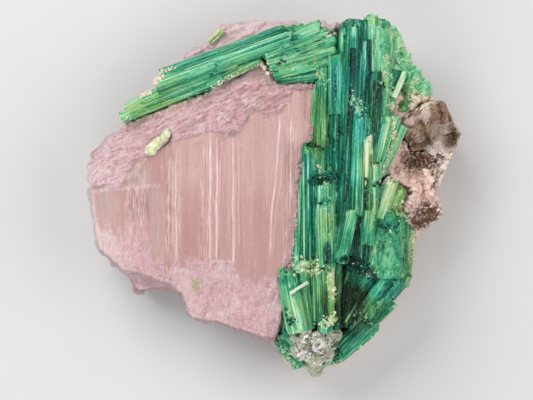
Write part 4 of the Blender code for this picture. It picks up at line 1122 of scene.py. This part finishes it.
def crumb(centre, size, draw, tone=None):
    """One blunt grain."""
    shape = bmesh.new()
    bmesh.ops.create_icosphere(shape, subdivisions=1, radius=size)
    stretch = [draw.uniform(0.6, 1.25) for _ in range(3)]
    bmesh.ops.scale(shape, verts=shape.verts, vec=stretch)
    for vert in shape.verts:
        vert.co *= draw.uniform(0.6, 1.3)
    return grained(shape, centre, draw, tone)


def splinter(centre, size, draw, tone=None):
    """One sharp little crystal."""
    shape = bmesh.new()
    bmesh.ops.create_cone(
        shape, cap_ends=True, segments=5, radius1=size * draw.uniform(0.35, 0.6),
        radius2=size * draw.uniform(0.15, 0.45), depth=size * draw.uniform(0.8, 1.7),
    )
    return grained(shape, centre, draw, tone)


def shard(centre, size, draw, tone=None):
    """One thin broken plate."""
    shape = bmesh.new()
    bmesh.ops.create_cube(shape, size=size)
    bmesh.ops.scale(shape, verts=shape.verts, vec=(1.0, draw.uniform(0.35, 0.7), draw.uniform(0.15, 0.35)))
    for vert in shape.verts:
        vert.co *= draw.uniform(0.75, 1.25)
    bmesh.ops.triangulate(shape, faces=shape.faces)
    return grained(shape, centre, draw, tone)


def strewn(tree, start, stop, spread, count, draw):
    """Places on a surface below a line, spread to both sides of it."""
    for _ in range(count):
        place = Vector(start).lerp(Vector(stop), draw.random())
        x, y = place.x + draw.gauss(0.0, spread), place.y + draw.gauss(0.0, spread)
        point, normal, _, _ = tree.ray_cast(Vector((x, y, SKY)), DOWN)
        if point is not None and normal.z > 0.1 and point.z > LOWEST_CRUST:
            yield point, normal


def scattered(shape, low, high, count, sizes, make, draw):
    """Grains dropped on the upper side of a shape."""
    tree = BVHTree.FromBMesh(shape)
    for _ in range(count):
        start = Vector((draw.uniform(low[0], high[0]), draw.uniform(low[1], high[1]), SKY))
        point, normal, _, _ = tree.ray_cast(start, DOWN)
        if point is not None and normal.z > 0.15:
            size = draw.uniform(*sizes)
            yield make(point - normal * size * 0.2, size, draw)


BANK = 3.6
BANK_FROM = 12.0


def rough_rock(name, cell, lump, depth, beside_it=None):
    """A lumpy mass, banked up against the surfaces beside it."""
    shape = remeshed(started(name), cell)
    shape.normal_update()
    moves = []
    for vert in shape.verts:
        x, y, z = vert.co
        rough = depth * grain_noise(x, y, z, lump) + 0.6 * depth * crumpled(x, y, z, lump * 0.45)
        rough += 0.3 * depth * crumpled(x, y, z, lump * 0.2)
        move = vert.normal * (rough - 0.3 * depth) * smoothly(0.1, 1.2, z)
        if beside_it is not None and z > BANK_FROM:
            distance = beside_it.find_nearest(vert.co)[3]
            bank = smoothly(3.6, 0.2, distance) * smoothly(0.1, 0.6, vert.normal.z)
            move.z += BANK * bank * smoothly(BANK_FROM, BANK_FROM + 2.0, z)
        moves.append(move)
    for vert, move in zip(shape.verts, moves):
        vert.co += move
    return shape


def albite_finish(settings):
    finish = Finish("granular_albite")
    place = finish.place()
    x, y, z = finish.parts(place)
    grains = finish.cells(place, 1.1)
    clouds = finish.clouds(place, 0.45, 5.0, 0.65)
    fine = finish.clouds(place, 1.3, 6.0, 0.8)
    colour = finish.mix(clouds.between(0.4, 0.6), settings.albite, (0.86, 0.60, 0.56))
    # Painted shade: dark flecks from noise stand in for the crevices between the grains.
    colour = finish.mix(fine.between(0.46, 0.34) * 0.5, colour, (0.44, 0.25, 0.17))
    colour = finish.mix(fine.between(0.53, 0.63) * 0.75, colour, (0.96, 0.86, 0.78))
    brown = finish.spot(x, y, (37.0, 9.4), (4.4, 3.0), (fine - 0.5) * 9.0)
    brown = brown.most(finish.spot(x, y, (38.8, -4.6), (3.4, 3.2), (fine - 0.5) * 9.0))
    brown = brown.most(finish.spot(x, y, (35.4, -6.8), (4.0, 1.6), (fine - 0.5) * 9.0))
    brown = brown * (z + (clouds - 0.5) * 12.0).between(12.0, 16.0)
    stains = finish.clouds(place, 0.8, 5.0, 0.75).between(0.6, 0.68)
    colour = finish.mix((stains * 0.7).most(brown), colour, settings.stain)
    colour = finish.mix(fine.between(0.57, 0.63) * 0.7, colour, (1.0, 0.84, 0.76))
    return finish.surface(
        base_color=colour,
        roughness=0.45,
        normal=finish.raised(grains + fine * 0.8, 0.5, 0.4),
        subsurface_weight=0.1,
        subsurface_scale=0.001,
    )


def cream_finish(settings):
    finish = Finish("cream_crust")
    place = finish.place()
    broad = finish.clouds(place, 0.7, 3.0, 0.6)
    fine = finish.clouds(place, 3.0, 3.0, 0.7)
    colour = finish.mix(broad.between(0.5, 0.64) * 0.8, settings.cream, (0.74, 0.46, 0.28))
    colour = finish.mix(fine.between(0.5, 0.62) * 0.8, colour, (0.92, 0.86, 0.76))
    return finish.surface(base_color=colour, roughness=0.5, normal=finish.raised(fine, 0.4, 0.3))


def tuft_finish(settings):
    finish = Finish("tuft_albite")
    place = finish.place()
    x, y, _ = finish.parts(place)
    plates = finish.measure("plate")
    fine = finish.clouds(place, 2.2, 5.0, 0.75)
    broad = finish.clouds(place, 0.6, 4.0)
    shaded_heart = finish.spot(x, y, (9.8, -36.4), (4.2, 3.8), (broad - 0.5) * 5.0)
    colour = finish.mix(broad.between(0.4, 0.62), settings.tuft, (0.52, 0.55, 0.40))
    colour = finish.mix(fine.between(0.54, 0.66) * 0.6, colour, (0.80, 0.82, 0.70))
    # Painted shade: near-black gaps between the splinters at the tuft's heart.
    colour = finish.mix(shaded_heart * fine.between(0.56, 0.44) * 0.9, colour, (0.05, 0.05, 0.03))
    white = finish.mix(broad.between(0.42, 0.6) * 0.7, (0.86, 0.84, 0.80), (0.74, 0.56, 0.53))
    colour = finish.mix(plates, colour, white)
    return finish.surface(
        base_color=colour,
        roughness=0.3,
        normal=finish.raised(fine, 0.5, 0.4),
        subsurface_weight=0.15,
        subsurface_scale=0.001,
    )


# Quartz


def chipped(place, size):
    """Depth of flat chips that meet at sharp edges."""
    nearest = noise.voronoi(place / size)[1][0]
    tilt = noise.noise_vector(nearest * 7.3 + Vector((0.5, 0.5, 0.5)))
    return (place / size - nearest).dot(tilt) * size


def quartz_shape():
    """The smoky quartz with its broken, many-sided faces."""
    shape = remeshed(started("smoky_quartz"), 0.42)
    shape.normal_update()
    moves = []
    for vert in shape.verts:
        x, y, z = vert.co
        dent = 1.5 * chipped(Vector((x, y, z)), 6.5) + 0.7 * chipped(Vector((x, y, z + 40.0)), 3.0)
        dent = clamped(dent + 0.7, -0.1, 2.6)
        moves.append(vert.normal * -dent * (0.15 + 0.85 * smoothly(0.25, 0.7, vert.normal.z)))
    for vert, move in zip(shape.verts, moves):
        vert.co += move
    return shape


def quartz_finish(settings):
    finish = Finish("smoky_glass")
    place = finish.place()
    x, y, z = finish.parts(place)
    veils = finish.clouds(place, 0.3, 3.0, 0.6, 0.8)
    fine = finish.clouds(place, 1.2, 6.0, 0.8)
    folds = finish.clouds(finish.turned(finish.stretched(place, (1.0, 0.5, 0.6)), 0.5), 0.35, 4.0, 0.6, 1.5)
    cracks = (folds - 0.5).size().between(0.014, 0.0) * veils.between(0.4, 0.5)
    colour = finish.mix(veils.between(0.4, 0.6), (0.19, 0.10, 0.05), (0.44, 0.275, 0.18))
    brown = finish.spot(x, y, (44.0, 15.2), (1.7, 2.6), (fine - 0.5) * 7.0)
    brown = brown.most(finish.spot(x, y, (33.0, 13.6), (2.4, 2.6), (fine - 0.5) * 9.0))
    brown = brown.most(finish.spot(x, y, (38.4, 11.0), (1.6, 3.6), (fine - 0.5) * 9.0))
    brown = brown.most(finish.spot(x, y, (42.0, 9.6), (1.4, 1.6), (fine - 0.5) * 9.0))
    colour = finish.mix(brown * 0.85, colour, (0.09, 0.045, 0.015))
    low = y.between(14.0, 10.0) * x.between(37.0, 39.4) * z.between(12.0, 15.0)
    colour = finish.mix(low * fine.between(0.4, 0.5), colour, (1.0, 0.84, 0.74))
    pale = finish.spot(x, y, (41.2, 15.6), (2.0, 3.2), (fine - 0.5) * 5.0) * z.between(17.0, 19.0)
    colour = finish.mix((pale * 0.75).most(fine.between(0.6, 0.68) * 0.8), colour, (0.74, 0.60, 0.52))
    # Painted rim light: a bright broken line along the quartz's right edge.
    right = x + (y - 15.4).size() * 0.42
    rim_highlight = right.within(46.4, 48.0, 0.3) * fine.between(0.34, 0.5) * z.between(19.0, 20.6)
    colour = finish.mix(rim_highlight * 0.8, colour, (0.92, 0.84, 0.80))
    colour = finish.mix(cracks * 0.7, colour, (0.06, 0.035, 0.02))
    veins = (folds - 0.47).size().between(0.012, 0.0) * veils.between(0.52, 0.46)
    colour = finish.mix(veins * z.between(17.0, 19.0) * 0.7, colour, (0.84, 0.76, 0.70))
    smoke = finish.node(
        "ShaderNodeVolumeAbsorption", {}, {"Color": tuple(settings.smoke), "Density": 60.0}
    )
    finish.feed(finish.output.inputs["Volume"], smoke.outputs[0])
    return finish.surface(
        base_color=colour,
        roughness=0.08 + fine.between(0.45, 0.7) * 0.3,
        normal=finish.raised(fine, 0.3, 0.3),
        transmission_weight=0.25,
        ior=1.54,
        coat_weight=0.5,
        coat_roughness=0.05,
    )


class SPECIMEN_OT_kunzite(bpy.types.Operator):
    """Model the pink slab with its smooth face, flaky slope and grainy foot"""

    bl_idname = "specimen.kunzite"
    bl_label = "Kunzite"

    def execute(self, context):
        settings = context.scene.kunzite
        draw = random.Random(SEED)
        shape = joined([kunzite_shape(settings.cell), *seam_grains(draw)])
        piece("kunzite_slab", shape, kunzite_finish(settings), ["kunzite"], True)
        return {"FINISHED"}


class SPECIMEN_OT_tourmaline(bpy.types.Operator):
    """Grow the column, the fan, the band and the two chips of tourmaline"""

    bl_idname = "specimen.tourmaline"
    bl_label = "Tourmaline"

    def execute(self, context):
        material = tourmaline_finish()
        draw = random.Random(SEED)
        needles = context.scene.specimen.needles
        for name, rows, tone, heading in [
            ("tourmaline_column", COLUMN_CRYSTALS, 0.3, math.radians(90.0)),
            ("tourmaline_fan", FAN_CRYSTALS, 0.3, math.radians(55.0)),
            ("tourmaline_band", BAND_CRYSTALS, 0.4, math.radians(20.0)),
        ]:
            shapes = [spray_bed(name, 0.6, tone, heading), *grown(rows, needles, draw)]
            if rows is COLUMN_CRYSTALS:
                shapes += margin_lobes(draw)
            if rows is FAN_CRYSTALS:
                shapes += (lump(Vector(row[:3]), row[3], draw, row[4], 0.9) for row in DARK_LUMPS)
            if rows is BAND_CRYSTALS:
                shapes += grown([lowered(row, BAND_THICKNESS) for row in rows], 0, draw)
            piece(name + "_spray", joined(shapes), material, [name], False)
        for name, rows, lumps in [
            ("tourmaline_chip", CHIP_CRYSTALS, CHIP_LUMPS),
            ("tourmaline_edge_chip", EDGE_CHIP_CRYSTALS, []),
        ]:
            shapes = list(grown(rows, needles, draw))
            shapes += (lump(Vector(row[:3]), row[3], draw, row[4], 0.0) for row in lumps)
            shape = joined(shapes)
            piece(name + "_pair", shape, material, [name], False)
        return {"FINISHED"}


class SPECIMEN_OT_albite(bpy.types.Operator):
    """Model the granular matrix on the right and the pale tuft at the foot"""

    bl_idname = "specimen.albite"
    bl_label = "Albite"

    def execute(self, context):
        settings = context.scene.specimen
        draw = random.Random(SEED)
        beside_it = joined(started(name) for name in ("smoky_quartz", "tourmaline_column", "tourmaline_fan"))
        matrix = rough_rock("albite_matrix", 0.5, 3.0, 1.0, BVHTree.FromBMesh(beside_it))
        beside_it.free()
        grains = [
            *scattered(matrix, (27.0, -10.0), (43.0, 22.0), 1500, (0.4, 1.1), crumb, draw),
            *scattered(matrix, (27.0, -10.0), (43.0, 22.0), 300, (0.6, 1.3), shard, draw),
        ]
        lumps = [lump(Vector(row[:3]), row[3], draw) for row in ALBITE_LUMPS]
        shape = joined([matrix, *grains, *lumps])
        piece("albite_rock", shape, albite_finish(settings), ["albite_matrix"], False)
        tuft = rough_rock("albite_tuft", 0.4, 1.8, 0.5)
        grains = list(scattered(tuft, (2.0, -46.0), (18.0, -30.0), 420, (0.4, 1.2), crumb, draw))
        plates = list(scattered(tuft, (5.4, -42.0), (14.6, -32.0), 210, (1.0, 2.4), shard, draw))
        for plate in plates:
            layer = plate.verts.layers.float.new("plate")
            for vert in plate.verts:
                vert[layer] = 1.0
        shape = joined([tuft, *grains, *plates])
        piece("tuft_of_albite", shape, tuft_finish(settings), ["albite_tuft"], False)
        return {"FINISHED"}


class SPECIMEN_OT_quartz(bpy.types.Operator):
    """Model the smoky quartz with its broken, many-sided faces"""

    bl_idname = "specimen.quartz"
    bl_label = "Smoky quartz"

    def execute(self, context):
        finish = quartz_finish(context.scene.specimen)
        piece("quartz_crystal", quartz_shape(), finish, ["smoky_quartz"], False)
        return {"FINISHED"}


GROUND = [
    "kunzite_slab", "tourmaline_column_spray", "tourmaline_fan_spray", "tourmaline_band_spray",
    "albite_rock", "tuft_of_albite", "quartz_crystal",
]


class SPECIMEN_OT_crusts(bpy.types.Operator):
    """Strew dark, pale and cream grains along the seams and over the broken ends"""

    bl_idname = "specimen.crusts"
    bl_label = "Crusts"

    def execute(self, context):
        settings = context.scene.specimen
        draw = random.Random(SEED)
        tree = ground(GROUND)
        green = bpy.data.materials["striated_tourmaline"]
        shapes = []
        for start, stop, spread, count, size, tone in DARK_CRUSTS + PALE_CRUSTS:
            for point, normal in strewn(tree, start, stop, spread, count, draw):
                scale = size * draw.uniform(0.6, 1.3)
                # About one grain in sixteen is pale, a painted glint among the dark crumbs.
                shade = clamped(tone + draw.gauss(0.0, 0.07)) if draw.random() > 0.06 else 0.8
                make = draw.choice([splinter, shard, crumb])
                shapes.append(make(point + normal * scale * 0.1, scale * 0.8, draw, shade))
        piece("tourmaline_crumbs", joined(shapes), green, [], False)
        shapes = []
        for start, stop, spread, count, size in CREAM_CRUSTS:
            for point, normal in strewn(tree, start, stop, spread, count, draw):
                scale = size * draw.uniform(0.35, 0.8)
                make = shard if draw.random() < 0.4 else crumb
                shapes.append(make(point + normal * scale * 0.1, scale, draw))
        shapes += (lump(Vector(row[:3]), row[3], draw) for row in CREAM_LUMPS)
        piece("cream_crumbs", joined(shapes), cream_finish(settings), [], False)
        return {"FINISHED"}


class SPECIMEN_OT_stage(bpy.types.Operator):
    """Set up the floor, the studio lights and the camera above the specimen"""

    bl_idname = "specimen.stage"
    bl_label = "Stage"

    def execute(self, context):
        settings = context.scene.stage
        shape = bmesh.new()
        bmesh.ops.create_grid(shape, x_segments=1, y_segments=1, size=1.5)
        mesh = bpy.data.meshes.new("floor")
        shape.to_mesh(mesh)
        shape.free()
        finish = Finish("floor")
        mesh.materials.append(finish.surface(base_color=settings.floor, roughness=0.8))
        floor = bpy.data.objects.new("floor", mesh)
        context.scene.collection.objects.link(floor)
        area_light("key", (-0.32, 0.38, 0.5), 0.5, settings.light)
        area_light("fill", (0.5, 0.0, 0.45), 0.6, settings.light * 0.6)
        area_light("low", (-0.25, -0.5, 0.45), 0.6, settings.light * 0.6)
        world = bpy.data.worlds.new("studio")
        world.use_nodes = True
        back = world.node_tree.nodes["Background"]
        back.inputs["Color"].default_value = (1.0, 1.0, 1.0, 1.0)
        back.inputs["Strength"].default_value = 0.22
        context.scene.world = world
        data = bpy.data.cameras.new("camera")
        data.lens = CAMERA_LENS
        camera = bpy.data.objects.new("camera", data)
        camera.location = CAMERA_PLACE
        context.scene.collection.objects.link(camera)
        context.scene.camera = camera
        context.scene.view_settings.view_transform = "Standard"
        return {"FINISHED"}


def area_light(name, place, size, power):
    """A square soft light that faces the specimen."""
    data = bpy.data.lights.new(name, "AREA")
    data.size = size
    data.energy = power
    light = bpy.data.objects.new(name, data)
    light.location = place
    light.rotation_euler = (-Vector(place)).to_track_quat("-Z", "Y").to_euler()
    bpy.context.scene.collection.objects.link(light)


OPERATORS = [
    SPECIMEN_OT_kunzite, SPECIMEN_OT_tourmaline, SPECIMEN_OT_albite, SPECIMEN_OT_quartz,
    SPECIMEN_OT_crusts, SPECIMEN_OT_stage,
]


class SPECIMEN_PT_pieces(bpy.types.Panel):
    """Lists the pieces of the specimen"""

    bl_label = "Tourmaline on Kunzite"
    bl_space_type = "VIEW_3D"
    bl_region_type = "UI"
    bl_category = "Specimen"

    def draw(self, context):
        for operator in OPERATORS:
            self.layout.operator(operator.bl_idname)
        for name in ("cell", "face", "blush", "flakes", "sugar", "glints_and_frost"):
            self.layout.prop(context.scene.kunzite, name)
        for name in ("albite", "stain", "cream", "tuft", "smoke", "needles"):
            self.layout.prop(context.scene.specimen, name)
        for name in ("floor", "light"):
            self.layout.prop(context.scene.stage, name)


CLASSES = [KunziteSettings, SpecimenSettings, StageSettings, *OPERATORS, SPECIMEN_PT_pieces]
SETTINGS = {"kunzite": KunziteSettings, "specimen": SpecimenSettings, "stage": StageSettings}


def register():
    for made in CLASSES:
        bpy.utils.register_class(made)
    for name, group in SETTINGS.items():
        setattr(bpy.types.Scene, name, bpy.props.PointerProperty(type=group))


def unregister():
    for name in SETTINGS:
        delattr(bpy.types.Scene, name)
    for made in reversed(CLASSES):
        bpy.utils.unregister_class(made)


def main():
    register()
    bpy.ops.specimen.kunzite()
    bpy.ops.specimen.tourmaline()
    bpy.ops.specimen.albite()
    bpy.ops.specimen.quartz()
    bpy.ops.specimen.crusts()
    bpy.ops.specimen.stage()


if __name__ == "__main__":
    main()
